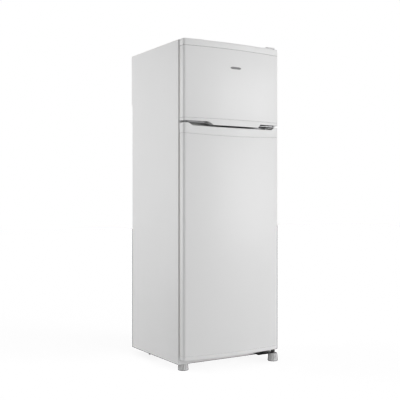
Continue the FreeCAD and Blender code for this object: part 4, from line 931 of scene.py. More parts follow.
def build_badge():
    """A plain grey oval plate on the freezer door."""
    plan = DoorPlan("freezer_door")
    middle_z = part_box("freezer_door_skin")[1].z - 88 * MM
    half_wide, half_tall, proud = 30 * MM, 5.5 * MM, 0.9 * MM
    off_middle = 3 * MM
    rings = ((-0.3 * MM, 0.0), (-0.3 * MM, 1.0), (proud * 0.6, 1.0), (proud, 0.93), (proud * 0.8, 0.86),
             (proud * 0.8, 0.0))
    steps = 48
    vertices = []
    for out, share in rings:
        for step in range(steps):
            angle = 2 * math.pi * step / steps
            inset = (1 - share) * half_tall
            x = (half_wide - inset) * math.copysign(abs(math.cos(angle)) ** 0.5, math.cos(angle))
            z = (half_tall - inset) * math.copysign(abs(math.sin(angle)) ** 0.8, math.sin(angle))
            if share == 0.0:
                x, z = 0.0, 0.0
            x += off_middle
            vertices.append(Vector((x, plan.front(x)[0] - out, middle_z + z)))
    mesh = clean(new_mesh("badge", vertices, grid_faces(len(rings), steps, closed=True)))
    place_piece("plain_badge", mesh, "freezer_door", "grip_grey")


# ---------------------------------------------------------------- cabinet
class CABINET_OT_build(bpy.types.Operator):
    """Cabinet: the enamelled wrap with bent edges, and every piece round it with softened edges"""
    bl_idname = "refrigerator.cabinet"
    bl_label = "Cabinet"

    def execute(self, context):
        place_piece("enamelled_wrap", wrap_mesh(), CABINET, "white_enamel", ["outer_shell"])
        for node, width in (("divider_rail", 0.5), ("bottom_rail", 0.6), ("rear_panel", 0.3)):
            slot = "galvanised_sheet" if node == "rear_panel" else "white_rail"
            place_piece(f"{node}_sheet", rounded_copy(node, width * MM), CABINET, slot, [node])
        return {"FINISHED"}


def wrap_mesh():
    """The cabinet's sides and top bent from one sheet, with the deeper part behind at the top."""
    sizes = setting("cabinet_sizes")
    low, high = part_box("outer_shell")
    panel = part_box("rear_panel")[1].y
    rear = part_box("base_plate")[1].y
    radius = sizes.edge_radius
    path = [(-high.x, low.z, Vector((-1, 0, 0))), (-high.x, high.z - sizes.step_height, Vector((-1, 0, 0))),
            (-high.x, high.z - sizes.step_height + sizes.step_rise, Vector((-1, 0, 0)))]
    for side in (-1, 1):
        turn = range(7) if side < 0 else range(6, -1, -1)
        for step in turn:
            angle = math.pi / 2 * step / 6
            out = Vector((side * math.cos(angle), 0, math.sin(angle)))
            path.append((side * (high.x - radius) + out.x * radius, high.z - radius + out.z * radius, out))
    path += [(high.x, z, Vector((1, 0, 0))) for _, z, _ in reversed(path[:3])]
    fold, rear_fold, rear_return = sizes.front_fold, 0.6 * MM, 9 * MM
    rows = [(low.y, sizes.front_return)]
    rows += [(low.y + fold * c, fold * (1 - s)) for s, c in quarter(4)]
    rows += [(low.y + (rear - low.y) * share, 0.0) for share in (0.25, 0.5, 0.75)]
    # no depth of their own: the rear edge, whose depth steps out near the top
    rows += [(None, 0.0), (None, rear_fold), (None, rear_return)]
    vertices = []
    for y, inset in rows:
        for x, z, out in path:
            stepped = z > high.z - sizes.step_height + sizes.step_rise / 2
            end = high.y if stepped else rear
            depth = end if y is None else y
            if y is None and inset == 0.0:
                depth -= rear_fold
            drop = inset if out.z > 0 else 0.0
            vertices.append(Vector((x - out.x * inset, depth, z - out.z * drop)))
    mesh = clean(new_mesh("wrap", vertices, grid_faces(len(rows), len(path))), closed=False)
    orient(mesh, Vector((0, (low.y + panel) / 2, (low.z + high.z) / 2)))
    return with_modifier(mesh, "SOLIDIFY", thickness=sizes.sheet, offset=-1.0)


def orient(mesh, inside):
    """Turns an open sheet's faces away from a point inside it."""
    total = sum((face.center - inside).dot(face.normal) * face.area for face in mesh.polygons)
    if total < 0:
        mesh.flip_normals()


# ---------------------------------------------------------------- gaskets
GASKET_PROFILE = (
    (0.5, 0.0), (15.5, 0.0), (15.5, 1.2), (12.2, 1.8), (11.4, 2.8), (13.6, 4.0), (15.2, 5.2), (13.8, 6.6),
    (15.6, 7.8), (15.8, 8.6), (15.8, 11.0), (15.2, 11.55), (0.9, 11.55), (0.2, 11.0), (0.2, 8.6),
    (0.5, 7.8), (2.6, 6.6), (0.8, 5.2), (2.4, 4.0), (4.4, 2.8), (3.6, 1.8), (0.5, 1.2),
)


def gasket_mesh(node):
    """A folded seal with a magnet pocket, mitred round a frame; the profile is (inset, height) in mm."""
    low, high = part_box(node)
    scale = (high.y - low.y) / (GASKET_PROFILE[11][1] * MM)
    vertices = []
    for inset, rise in GASKET_PROFILE:
        left, right = low.x + inset * MM, high.x - inset * MM
        bottom, top = low.z + inset * MM, high.z - inset * MM
        y = low.y + rise * MM * scale
        vertices += [Vector((left, y, bottom)), Vector((right, y, bottom)), Vector((right, y, top)),
                     Vector((left, y, top))]
    count = len(GASKET_PROFILE)
    faces = []
    for row in range(count):
        after = (row + 1) % count
        for side in range(4):
            ahead = (side + 1) % 4
            faces.append((row * 4 + side, row * 4 + ahead, after * 4 + ahead, after * 4 + side))
    return clean(new_mesh(node, vertices, faces))


class GASKETS_OT_build(bpy.types.Operator):
    """Gaskets: folded magnetic seals round the back of both doors"""
    bl_idname = "refrigerator.gaskets"
    bl_label = "Gaskets"

    def execute(self, context):
        for door in ("freezer_door", "fridge_door"):
            place_piece(f"{door}_seal", gasket_mesh(f"{door}_gasket"), door, "gasket_grey",
                        [f"{door}_gasket"], math.radians(50))
        return {"FINISHED"}


# ---------------------------------------------------------------- geometry nodes
class Tree:
    """A geometry node tree with named inputs, built node by node."""

    def __init__(self, name, **inputs):
        self.group = bpy.data.node_groups.new(name, "GeometryNodeTree")
        kinds = {float: "NodeSocketFloat", int: "NodeSocketInt", Vector: "NodeSocketVector"}
        self.values = inputs
        for label, value in inputs.items():
            self.group.interface.new_socket(label, in_out="INPUT", socket_type=kinds[type(value)])
        self.group.interface.new_socket("Geometry", in_out="OUTPUT", socket_type="NodeSocketGeometry")
        self.source = self.group.nodes.new("NodeGroupInput")
        self.end = self.group.nodes.new("NodeGroupOutput")

    def input(self, label):
        return self.source.outputs[label]

    def node(self, kind, settings=None, sockets=None, output=0):
        node = self.group.nodes.new(kind)
        for name, value in (settings or {}).items():
            setattr(node, name, value)
        for socket, value in (sockets or {}).items():
            if isinstance(value, bpy.types.NodeSocket):
                self.group.links.new(value, node.inputs[socket])
            else:
                node.inputs[socket].default_value = value
        return node.outputs[output]

    def maths(self, operation, first, second=0.0):
        return self.node("ShaderNodeMath", {"operation": operation}, {0: first, 1: second})

    def eased(self, value, reach, result):
        """A value's smooth change from one result to another over its reach."""
        return self.node("ShaderNodeMapRange", {"interpolation_type": "SMOOTHSTEP"}, {
            "Value": value, "From Min": reach[0], "From Max": reach[1],
            "To Min": result[0], "To Max": result[1]})

    def mesh(self, geometry, material):
        """Finishes the tree with Realize Instances and Set Material, and returns the plain mesh."""
        whole = self.node("GeometryNodeRealizeInstances", sockets={0: geometry})
        painted = self.node("GeometryNodeSetMaterial", sockets={"Geometry": whole, "Material": material})
        self.group.links.new(painted, self.end.inputs[0])
        holder = bpy.data.objects.new("holder", bpy.data.meshes.new("holder"))
        bpy.context.scene.collection.objects.link(holder)
        modifier = holder.modifiers.new("tree", "NODES")
        modifier.node_group = self.group
        for item in self.group.interface.items_tree:
            if item.item_type == "SOCKET" and item.in_out == "INPUT":
                modifier[item.identifier] = self.values[item.name]
        return evaluated(holder)


# ---------------------------------------------------------------- feet and rollers
def foot_mesh(node):
    """A fluted foot that flares towards the floor, as a cylinder moved by its flutes and waist."""
    sizes = setting("foot_sizes")
    low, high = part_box(node)
    radius = (high.x - low.x) / 2
    tall = high.z - low.z
    tree = Tree("fluted_foot", Radius=radius, Height=tall, Flutes=float(sizes.flutes),
                Depth=float(sizes.flute_depth), Waist=float(sizes.waist),
                Middle=underside(low, high))
    barrel = tree.node("GeometryNodeMeshCylinder", sockets={
        "Vertices": sizes.flutes * 12, "Side Segments": 16, "Fill Segments": 3,
        "Radius": tree.input("Radius"), "Depth": tree.input("Height")})
    place = tree.node("GeometryNodeInputPosition")
    apart = tree.group.nodes.new("ShaderNodeSeparateXYZ")
    tree.group.links.new(place, apart.inputs[0])
    x, y, z = apart.outputs
    rise = tree.maths("ADD", tree.maths("DIVIDE", z, tree.input("Height")), 0.5)
    angle = tree.maths("MULTIPLY", tree.maths("ARCTAN2", y, x), tree.input("Flutes"))
    swing = tree.maths("COSINE", tree.maths("MULTIPLY", angle, 0.5))
    wave = tree.maths("POWER", tree.maths("ABSOLUTE", swing), 0.6)
    groove = tree.maths("MULTIPLY", tree.maths("SUBTRACT", 1.0, wave), tree.input("Depth"))
    fade = tree.eased(rise, (0.10, 0.26), (0.0, 1.0))
    groove = tree.maths("MULTIPLY", groove, fade)
    waist = tree.maths("MULTIPLY", tree.maths("POWER", rise, 0.7), tree.input("Waist"))
    edge = tree.eased(rise, (0.88, 1.0), (0.0, 1.6 * MM))
    toe = tree.eased(rise, (0.0, 0.08), (0.9 * MM, 0.0))
    loss = tree.maths("ADD", tree.maths("ADD", groove, waist), tree.maths("ADD", edge, toe))
    share = tree.maths("SUBTRACT", 1.0, tree.maths("DIVIDE", loss, tree.input("Radius")))
    moved = tree.node("ShaderNodeCombineXYZ", sockets={
        0: tree.maths("MULTIPLY", x, share), 1: tree.maths("MULTIPLY", y, share),
        2: tree.maths("MULTIPLY", rise, tree.input("Height"))})
    there = tree.node("ShaderNodeVectorMath", {"operation": "ADD"}, {0: moved, 1: tree.input("Middle")})
    shaped = tree.node("GeometryNodeSetPosition", sockets={"Geometry": barrel, "Position": there})
    return tree.mesh(shaped, finish_of("foot_plastic"))


def lathe(profile, steps=48):
    """A closed turned solid about Z from an outline of (radius, height) points."""
    vertices = [point for radius, z in profile for point in circle(radius, z, steps)]
    return clean(new_mesh("lathe", vertices, grid_faces(len(profile), steps, closed=True)))


def thread_mesh(node):
    """A threaded stud with its rounded crests."""
    low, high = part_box(node)
    radius = (high.x - low.x) / 2
    pitch = 1.5 * MM
    depth = 0.6 * MM
    turn_steps, rows_per_turn = 32, 6
    tall = high.z - low.z
    rows = int(tall / pitch * rows_per_turn)
    vertices = []
    for row in range(rows + 1):
        z = tall * row / rows
        for step in range(turn_steps):
            angle = 2 * math.pi * step / turn_steps
            phase = (z / pitch - step / turn_steps) % 1.0
            worn = depth * abs(2 * phase - 1)
            if row in (0, rows):
                worn = depth
            reach = radius - worn
            vertices.append(Vector((reach * math.cos(angle), reach * math.sin(angle), z)))
    faces = grid_faces(rows + 1, turn_steps, closed=True)
    faces.append(tuple(reversed(range(turn_steps))))
    faces.append(tuple(range(rows * turn_steps, (rows + 1) * turn_steps)))
    mesh = new_mesh(node, vertices, faces)
    mesh.transform(Matrix.Translation(underside(low, high)))
    return clean(mesh)


class FEET_OT_build(bpy.types.Operator):
    """Feet and rollers: two fluted feet on threaded studs, and two rear rollers with treads"""
    bl_idname = "refrigerator.feet"
    bl_label = "Feet and Rollers"

    def execute(self, context):
        for side in ("left", "right"):
            place_piece(f"{side}_fluted_foot", foot_mesh(f"{side}_foot"), f"{side}_foot", "foot_plastic",
                        [f"{side}_foot"], math.radians(45))
            place_piece(f"{side}_threaded_stud", thread_mesh(f"{side}_foot_stud"), f"{side}_stud",
                        "zinc_steel", [f"{side}_foot_stud"])
            place_piece(f"{side}_rear_roller", roller_mesh(f"{side}_roller"), f"{side}_roller",
                        "black_plastic", [f"{side}_roller"])
        return {"FINISHED"}


def roller_mesh(node):
    """A roller with a shallow tread groove and a recessed hub."""
    low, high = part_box(node)
    radius = (high.z - low.z) / 2
    half = (high.x - low.x) / 2
    bore = 3.08 * MM
    profile = [
        (bore, -half), (bore + 2.5 * MM, -half), (bore + 3 * MM, -half + 1.5 * MM),
        (radius - 4 * MM, -half + 1.5 * MM), (radius - 3.5 * MM, -half), (radius - 1.5 * MM, -half),
        (radius - 0.4 * MM, -half + 0.4 * MM), (radius, -half + 1.5 * MM), (radius, -1.5 * MM),
        (radius - 0.8 * MM, -1.0 * MM), (radius - 0.8 * MM, 1.0 * MM), (radius, 1.5 * MM),
        (radius, half - 1.5 * MM), (radius - 0.4 * MM, half - 0.4 * MM), (radius - 1.5 * MM, half),
        (radius - 3.5 * MM, half), (radius - 4 * MM, half - 1.5 * MM), (bore + 3 * MM, half - 1.5 * MM),
        (bore + 2.5 * MM, half), (bore, half), (bore, -half),
    ]
    mesh = lathe(profile)
    mesh.transform(Matrix.Rotation(math.pi / 2, 4, "Y"))
    mesh.transform(Matrix.Translation((low + high) / 2))
    return clean(mesh)


# ---------------------------------------------------------------- hinges
class HINGES_OT_build(bpy.types.Operator):
    """Hinges: three steel brackets, the moulded cover over the top one, and their screws"""
    bl_idname = "refrigerator.hinges"
    bl_label = "Hinges"

    def execute(self, context):
        for node in ("middle_hinge", "top_hinge", "bottom_hinge"):
            slot = "black_steel" if node == "bottom_hinge" else "zinc_steel"
            place_piece(f"{node}_bracket", rounded_copy(node, 0.5 * MM, 2), CABINET, slot, [node])
        low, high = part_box("top_hinge_cover")
        outline = rounded_rectangle(low, high, 6 * MM)
        edge = 2.5 * MM
        wall = 1.4 * MM
        levels = [(low.z + 2.6 * MM, wall), (low.z, wall), (low.z, 0), (high.z - edge, 0)]
        levels += [(high.z - edge * (1 - s), edge * c) for s, c in quarter(5)]
        place_piece("hinge_cover", stacked(outline, levels), CABINET, "white_cap", ["top_hinge_cover"])
        place_piece("hinge_screw_set", screws_mesh(), CABINET, "zinc_steel", ["hinge_screws"])
        return {"FINISHED"}


def screw_head():
    """A domed screw with a cross recess, about Z, its head's underside at height 0."""
    bm = bmesh.new()
    steps = 24
    head, tall, shank, deep = 4.6 * MM, 2.2 * MM, 2.2 * MM, 13.8 * MM
    profile = [(head * 0.97, 0.0), (head, 0.3 * MM), (head * 0.93, tall * 0.62), (head * 0.72, tall * 0.9),
               (head * 0.5, tall)]
    outline = [(shank, -deep), (shank, 0.0), *profile]
    rings = [[bm.verts.new(point) for point in circle(radius, z, steps)] for radius, z in outline]
    recess = []
    for i in range(steps):
        angle = 2 * math.pi * i / steps
        arm = max(abs(math.cos(angle)), abs(math.sin(angle)))
        radius = head * (0.40 if arm > 0.965 else 0.14)
        recess.append((radius * math.cos(angle), radius * math.sin(angle)))
    rings.append([bm.verts.new((x, y, tall)) for x, y in recess])
    rings.append([bm.verts.new((x * 0.8, y * 0.8, tall - 1.2 * MM)) for x, y in recess])
    for first, second in zip(rings, rings[1:]):
        for i in range(steps):
            j = (i + 1) % steps
            bm.faces.new((first[i], first[j], second[j], second[i]))
    bm.faces.new(list(reversed(rings[0])))
    bm.faces.new(rings[-1])
    mesh = bpy.data.meshes.new("screw")
    bm.to_mesh(mesh)
    bm.free()
    return mesh


def screws_mesh():
    """Screws set on points by a node tree: four look forward from the hinge flanges, two look up."""
    places = bpy.data.meshes.new("screw_places")
    points, turns = [], []
    for low, high in solid_boxes("hinge_screws"):
        middle = (low + high) / 2
        if high.y - low.y > high.z - low.z:
            points.append(Vector((middle.x, low.y + 2.2 * MM, middle.z)))
            turns.append((math.pi / 2, 0.3 + 0.5 * len(points), 0.0))
        else:
            points.append(Vector((middle.x, middle.y, high.z - 1.6 * MM)))
            turns.append((0.0, 0.0, 0.4 * len(points)))
    places.from_pydata([tuple(p) for p in points], [], [])
    turn = places.attributes.new("turn", "FLOAT_VECTOR", "POINT")
    for index, value in enumerate(turns):
        turn.data[index].vector = value
    screw = bpy.data.objects.new("screw_source", screw_head())
    spots = bpy.data.objects.new("screw_spots", places)
    for thing in (screw, spots):
        bpy.context.scene.collection.objects.link(thing)
    tree = Tree("hinge_screws", Scale=1.0)
    spot = tree.node("GeometryNodeObjectInfo", sockets={0: spots}, output="Geometry")
    shape = tree.node("GeometryNodeObjectInfo", sockets={0: screw}, output="Geometry")
    turned = tree.node("GeometryNodeInputNamedAttribute", {"data_type": "FLOAT_VECTOR"}, {0: "turn"})
    scale = tree.input("Scale")
    cloud = tree.node("GeometryNodeMeshToPoints", sockets={"Mesh": spot})
    result = tree.node("GeometryNodeInstanceOnPoints", sockets={
        "Points": cloud, "Instance": shape, "Rotation": turned, "Scale": scale})
    mesh = tree.mesh(result, finish_of("zinc_steel"))
    for thing in (screw, spots):
        bpy.data.objects.remove(thing)
    return mesh


# ---------------------------------------------------------------- condenser
class CONDENSER_OT_build(bpy.types.Operator):
    """Condenser: a serpentine tube with upright wires on both faces, and its four clips"""
    bl_idname = "refrigerator.condenser"
    bl_label = "Condenser"

    def execute(self, context):
        place_piece("condenser_tube", coil_mesh(), CABINET, "condenser_black", ["condenser_coil"])
        place_piece("condenser_grid", wires_mesh(), CABINET, "condenser_black", ["condenser_wires"])
        place_piece("condenser_clips", rounded_copy("condenser_brackets", 0.6 * MM), CABINET,
                    "black_plastic", ["condenser_brackets"])
        return {"FINISHED"}


def coil_mesh():
    """The serpentine: square turns rounded by Fillet Curve, and a round section swept along them."""
    sizes = setting("condenser_sizes")
    low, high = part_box("condenser_coil")
    tube = sizes.tube_radius
    y = (low.y + high.y) / 2
    first, last = low.z + tube, high.z - tube
    passes = round((last - first) / (70 * MM)) + 1
    pitch = (last - first) / (passes - 1)
    reach = high.x - tube
    start = reach - pitch / 2
    points = []
    for index in range(passes):
        z = first + pitch * index
        side = 1 if index % 2 == 0 else -1
        points += [(-side * (start if index == 0 else reach), y, z),
                   (side * (start if index == passes - 1 else reach), y, z)]
    line = bpy.data.meshes.new("coil_line")
    line.from_pydata(points, [(i, i + 1) for i in range(len(points) - 1)], [])
    spots = bpy.data.objects.new("coil_line", line)
    bpy.context.scene.collection.objects.link(spots)
    tree = Tree("condenser_coil", Tube=float(tube), Bend=min(float(sizes.bend_radius), pitch / 2 * 0.998))
    route = tree.node("GeometryNodeObjectInfo", sockets={0: spots}, output="Geometry")
    curve = tree.node("GeometryNodeMeshToCurve", sockets={0: route})
    rounded = tree.node("GeometryNodeFilletCurve", {"mode": "POLY"}, {
        "Curve": curve, "Count": 10, "Radius": tree.input("Bend"), "Limit Radius": True})
    ring = tree.node("GeometryNodeCurvePrimitiveCircle", sockets={
        "Resolution": 16, "Radius": tree.input("Tube")})
    swept = tree.node("GeometryNodeCurveToMesh", sockets={
        "Curve": rounded, "Profile Curve": ring, "Fill Caps": True})
    mesh = tree.mesh(swept, finish_of("condenser_black"))
    bpy.data.objects.remove(spots)
    return clean(mesh)


def wires_mesh():
    """Upright wires in two rows, one copy of a thin rod on each point of a line."""
    sizes = setting("condenser_sizes")
    boxes = solid_boxes("condenser_wires")
    columns = sorted({round((low.x + high.x) / 2, 4) for low, high in boxes})
    depths = sorted({round((low.y + high.y) / 2, 5) for low, high in boxes})
    low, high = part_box("condenser_wires")
    meshes = []
    for depth in depths:
        tree = Tree("condenser_wires", Count=len(columns), Radius=float(sizes.wire_radius),
                    Length=high.z - low.z, Start=Vector((columns[0], depth, (low.z + high.z) / 2)),
                    Pitch=Vector((columns[1] - columns[0], 0, 0)))
        line = tree.node("GeometryNodeMeshLine", {"mode": "OFFSET"}, {
            "Count": tree.input("Count"), "Start Location": tree.input("Start"),
            "Offset": tree.input("Pitch")})
        rod = tree.node("GeometryNodeMeshCylinder", sockets={
            "Vertices": 8, "Side Segments": 1, "Radius": tree.input("Radius"),
            "Depth": tree.input("Length")})
        wires = tree.node("GeometryNodeInstanceOnPoints", sockets={"Points": line, "Instance": rod})
        meshes.append(tree.mesh(wires, finish_of("condenser_black")))
    return joined(*meshes)


# ---------------------------------------------------------------- machine space
class MACHINE_OT_build(bpy.types.Operator):
    """Machine space: the welded compressor on its feet, its starting relay, tray and drier"""
    bl_idname = "refrigerator.machine"
    bl_label = "Machine Space"

    def execute(self, context):
        place_piece("welded_compressor", compressor_mesh(), CABINET, "compressor_black",
                    ["compressor_shell"])
        rounded = (("base_plate", "black_steel", 0.6), ("relay_box", "black_plastic", 1.5),
                   ("drip_tray", "tray_plastic", 0.8), ("floor_pan", "galvanised_sheet", 0.25))
        for node, slot, width in rounded:
            place_piece(f"{node}_shape", rounded_copy(node, width * MM), CABINET, slot, [node])
        place_piece("rubber_mounts", grommets_mesh(), CABINET, "black_rubber", ["compressor_grommets"])
        place_piece("filter_drier_shape", drier_mesh(), CABINET, "copper", ["filter_drier"])
        return {"FINISHED"}


def compressor_mesh():
    """Two pressed half shells welded at a flange, on a pressed mounting plate."""
    low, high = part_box("compressor_shell")
    mount_top = low.z + 3 * MM
    middle = underside(low, high)
    edge = 0.6 * MM
    radius = 68 * MM
    tall = high.z - mount_top
    weld = tall * 0.56
    profile = [(0.0, 0.0), (22 * MM, 0.3 * MM), (38 * MM, 2 * MM), (52 * MM, 9 * MM), (62 * MM, 22 * MM),
               (66 * MM, 40 * MM), (66.5 * MM, weld - 9 * MM), (66.5 * MM, weld - 2 * MM),
               (radius - 0.4 * MM, weld - 1.2 * MM), (radius, weld), (radius - 0.4 * MM, weld + 1.2 * MM),
               (64.5 * MM, weld + 2 * MM), (64.5 * MM, weld + 10 * MM), (63.5 * MM, tall - 34 * MM),
               (59 * MM, tall - 20 * MM), (50 * MM, tall - 9 * MM), (36 * MM, tall - 2.4 * MM),
               (20 * MM, tall - 0.3 * MM), (0.0, tall)]
    body = lathe(profile, 64)
    body.transform(Matrix.Translation((middle.x, middle.y, mount_top)))
    mount = stacked(rounded_rectangle(low, high, 14 * MM),
                    [(low.z, edge), (low.z + edge, 0), (mount_top - edge, 0), (mount_top, edge)])
    return joined(body, mount)


def grommets_mesh():
    """Waisted rubber mounts."""
    meshes = []
    for low, high in solid_boxes("compressor_grommets"):
        radius = (high.x - low.x) / 2
        tall = high.z - low.z
        mount = lathe([(0, 0), (radius * 0.9, 0), (radius, tall * 0.1), (radius, tall * 0.3),
                       (radius * 0.72, tall * 0.45), (radius * 0.72, tall * 0.6), (radius, tall * 0.75),
                       (radius, tall * 0.92), (radius * 0.9, tall), (0, tall)], 32)
        mount.transform(Matrix.Translation(underside(low, high)))
        meshes.append(mount)
    return joined(*meshes)


def drier_mesh():
    """A spun copper can with necked ends."""
    low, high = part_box("filter_drier")
    radius = (high.x - low.x) / 2
    tall = high.z - low.z
    neck = 3.4 * MM
    can = lathe([(0, 0), (neck, 0), (neck + 0.8 * MM, 8 * MM), (radius * 0.9, 16 * MM), (radius, 21 * MM),
                 (radius, tall - 21 * MM), (radius * 0.9, tall - 16 * MM), (neck + 0.8 * MM, tall - 8 * MM),
                 (neck, tall), (0, tall)], 32)
    can.transform(Matrix.Translation(underside(low, high)))
    return can


# ---------------------------------------------------------------- inside
ROUNDED_NODES = (
    # node, body, slot, rounding in millimetres
    ("freezer_liner", CABINET, "white_liner", 1.2), ("fridge_liner", CABINET, "white_liner", 1.2),
    ("freezer_door_liner", "freezer_door", "white_liner", 1.2),
    ("fridge_door_liner", "fridge_door", "white_liner", 1.2),
    ("shelf_trims", CABINET, "trim_white", 0.7), ("glass_shelves", CABINET, "shelf_glass", 0.7),
    ("freezer_shelf", CABINET, "white_liner", 0.8), ("crisper_drawer", "crisper", "clear_plastic", 0.7),
    ("fridge_door_bins", "fridge_door", "clear_plastic", 0.6),
    ("freezer_door_bin", "freezer_door", "clear_plastic", 0.6),
    ("control_housing", CABINET, "white_liner", 0.6), ("lamp_cover", CABINET, "lamp_diffuser", 0.6),
)


class INSIDE_OT_build(bpy.types.Operator):
    """Inside: liners, shelves, crisper, door bins and lamp housing with softened edges, and the knob"""
    bl_idname = "refrigerator.inside"
    bl_label = "Inside"

    def execute(self, context):
        for node, body, slot, width in ROUNDED_NODES:
            place_piece(f"{node}_moulding", rounded_copy(node, width * MM), body, slot, [node])
        place_piece("thermostat_dial", knob_mesh(), "thermostat", "trim_white", ["thermostat_knob"])
        for node, slot_name in node_slots().items():
            piece = frame["nodes"][node]
            piece.data.materials.clear()
            piece.data.materials.append(finish_of(slot_name))
        return {"FINISHED"}


def node_slots():
    """The record's material slot of each CAD node."""
    return {part["node"]: part["material_slot"] for part in frame["record"]["subparts"]}


def knob_mesh():
    """A ribbed dial with a raised grip, on its spindle."""
    low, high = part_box("thermostat_knob")
    radius = (high.z - low.z) / 2
    middle = Vector((0, (low.y + high.y) / 2, (low.z + high.z) / 2))
    steps = 96
    face = low.x + 7 * MM
    back = low.x + 14 * MM
    vertices = []
    rings = ((high.x, 3 * MM, 0), (back, 3 * MM, 0), (back, radius, 1), (face + 1 * MM, radius, 1),
             (face, radius - 1.2 * MM, 0), (face, 0.1 * MM, 0))
    for x, size, ribbed in rings:
        for step in range(steps):
            angle = 2 * math.pi * step / steps
            grow = -0.5 * MM * (step % 4 < 2) if ribbed else 0.0
            vertices.append(Vector((x, middle.y + (size + grow) * math.cos(angle),
                                    middle.z + (size + grow) * math.sin(angle))))
    faces = grid_faces(len(rings), steps, closed=True)
    faces.append(tuple(reversed(range(steps))))
    last = (len(rings) - 1) * steps
    faces.append(tuple(range(last, last + steps)))
    disc = clean(new_mesh("disc", vertices, faces))
    grip_low = Vector((-radius + 1.5 * MM, -3.5 * MM, 0))
    grip = stacked(rounded_rectangle(grip_low, -grip_low, 3 * MM), [
        (0, -0.6 * MM), (1 * MM, 0), (5.5 * MM, 0.5 * MM), (6.6 * MM, 1.2 * MM), (7 * MM, 2.2 * MM)])
    turn = Matrix(((0, 0, -1, 0), (0, 1, 0, 0), (1, 0, 0, 0), (0, 0, 0, 1)))
    grip.transform(Matrix.Translation((face, middle.y, middle.z)) @ turn)
    return joined(disc, clean(grip))


# ---------------------------------------------------------------- stage
class STAGE_OT_build(bpy.types.Operator):
    """Stage: a floor that only takes shadows, two soft boxes, soft surroundings and the camera"""
    bl_idname = "refrigerator.stage"
    bl_label = "Stage"

    def execute(self, context):
        sizes = setting("stage_sizes")
        build_floor()
        build_world(sizes.ambient)
        softbox("side_softbox", math.radians(-130), 3.4, (2.0, 3.4), sizes.side_light)
        softbox("front_softbox", math.radians(38), 8.0, (3.5, 5.0), sizes.front_light)
        camera = bpy.data.objects.new("camera", bpy.data.cameras.new("camera"))
        camera.data.lens = sizes.lens
        camera.data.sensor_width = 36.0
        camera.data.shift_y = sizes.lens_shift
        camera.location = sizes.camera
        camera.rotation_euler = (math.pi / 2, 0, -sizes.heading)
        context.scene.collection.objects.link(camera)
        context.scene.camera = camera
        context.scene.view_settings.view_transform = "Standard"
        return {"FINISHED"}


def softbox(name, azimuth, distance, size, power):
    """A large rectangular lamp that looks at the middle of the object; azimuth 0 is straight ahead."""
    lamp = bpy.data.lights.new(name, "AREA")
    lamp.shape = "RECTANGLE"
    lamp.size, lamp.size_y = size
    lamp.energy = power
    holder = bpy.data.objects.new(name, lamp)
    centre = (CAD_BOX[0] + CAD_BOX[1]) / 2
    holder.location = centre + Vector((math.sin(azimuth), -math.cos(azimuth), 0)) * distance
    holder.rotation_euler = (centre - holder.location).to_track_quat("-Z", "Y").to_euler()
    bpy.context.scene.collection.objects.link(holder)


def build_floor():
    """A wide floor that shows only the soft shadows on it, over plain white surroundings."""
    reach = 14.0
    corners = [(-reach, -reach, 0), (reach, -reach, 0), (reach, reach, 0), (-reach, reach, 0)]
    mesh = new_mesh("floor", corners, [(0, 1, 2, 3)])
    floor = bpy.data.objects.new("floor", mesh)
    finish = Finish("floor_finish", roughness=0.9, specular_ior_level=0.0)
    cloud = finish.noise(0.8, 2.0)
    finish.colour(finish.blend(cloud, (0.13, 0.13, 0.13), (0.14, 0.14, 0.14)))
    mesh.materials.append(finish.material)
    floor.is_shadow_catcher = True
    bpy.context.scene.collection.objects.link(floor)
    light_floor(floor)


def light_floor(floor):
    """A lamp that lights the floor alone and that the object doesn't shade, so its shadow stays faint."""
    lit = bpy.data.collections.new("lit_floor")
    lit.objects.link(floor)
    lamp = bpy.data.lights.new("floor_lamp", "SUN")
    lamp.energy = setting("stage_sizes").floor_light
    holder = bpy.data.objects.new("floor_lamp", lamp)
    bpy.context.scene.collection.objects.link(holder)
    holder.light_linking.receiver_collection = lit
    holder.light_linking.blocker_collection = lit


HORIZON_SHARE = 1.42
UPRIGHT_SHARE = 0.43


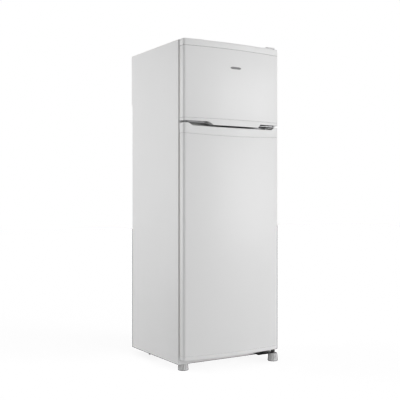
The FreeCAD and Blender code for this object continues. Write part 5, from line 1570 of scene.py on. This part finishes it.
def build_world(ambient):
    """Soft light all round, stronger near the horizon, and plain white behind the object."""
    world = bpy.data.worlds.new("surroundings")
    bpy.context.scene.world = world
    world.use_nodes = True
    tree = world.node_tree
    tree.nodes.clear()
    output = tree.nodes.new("ShaderNodeOutputWorld")
    mix = tree.nodes.new("ShaderNodeMixShader")
    path = tree.nodes.new("ShaderNodeLightPath")
    soft = tree.nodes.new("ShaderNodeBackground")
    soft.inputs["Color"].default_value = (1, 1, 1, 1)
    direction = tree.nodes.new("ShaderNodeTexCoord")
    height = tree.nodes.new("ShaderNodeSeparateXYZ")
    tree.links.new(direction.outputs["Generated"], height.inputs[0])
    steep = tree.nodes.new("ShaderNodeMath")
    steep.operation = "ABSOLUTE"
    tree.links.new(height.outputs["Z"], steep.inputs[0])
    fall = tree.nodes.new("ShaderNodeMapRange")
    fall.inputs["To Min"].default_value = ambient * HORIZON_SHARE
    fall.inputs["To Max"].default_value = ambient * UPRIGHT_SHARE
    tree.links.new(steep.outputs[0], fall.inputs["Value"])
    tree.links.new(fall.outputs[0], soft.inputs["Strength"])
    white = tree.nodes.new("ShaderNodeBackground")
    white.inputs["Color"].default_value = (1, 1, 1, 1)
    tree.links.new(path.outputs["Is Camera Ray"], mix.inputs[0])
    tree.links.new(soft.outputs[0], mix.inputs[1])
    tree.links.new(white.outputs[0], mix.inputs[2])
    tree.links.new(mix.outputs[0], output.inputs[0])


# ---------------------------------------------------------------- panel and run
OPERATORS = (
    STAGE_OT_build, CABINET_OT_build, FREEZERDOOR_OT_build, FRIDGEDOOR_OT_build, GASKETS_OT_build,
    HINGES_OT_build, FEET_OT_build, CONDENSER_OT_build, MACHINE_OT_build, INSIDE_OT_build,
)


class REFRIGERATOR_PT_panel(bpy.types.Panel):
    bl_label = "Refrigerator"
    bl_idname = "REFRIGERATOR_PT_panel"
    bl_space_type = "VIEW_3D"
    bl_region_type = "UI"
    bl_category = "Refrigerator"

    def draw(self, context):
        for operator in OPERATORS:
            self.layout.operator(operator.bl_idname)


def register():
    for group, kind in SETTINGS.items():
        bpy.utils.register_class(kind)
        setattr(bpy.types.Scene, group, bpy.props.PointerProperty(type=kind))
    for kind in (*OPERATORS, REFRIGERATOR_PT_panel):
        bpy.utils.register_class(kind)


def unregister():
    for kind in reversed((*OPERATORS, REFRIGERATOR_PT_panel)):
        bpy.utils.unregister_class(kind)
    for group, kind in SETTINGS.items():
        delattr(bpy.types.Scene, group)
        bpy.utils.unregister_class(kind)


def main():
    register()
    for operator in OPERATORS:
        family, name = operator.bl_idname.split(".")
        getattr(getattr(bpy.ops, family), name)()


if __name__ == "__main__":
    main()
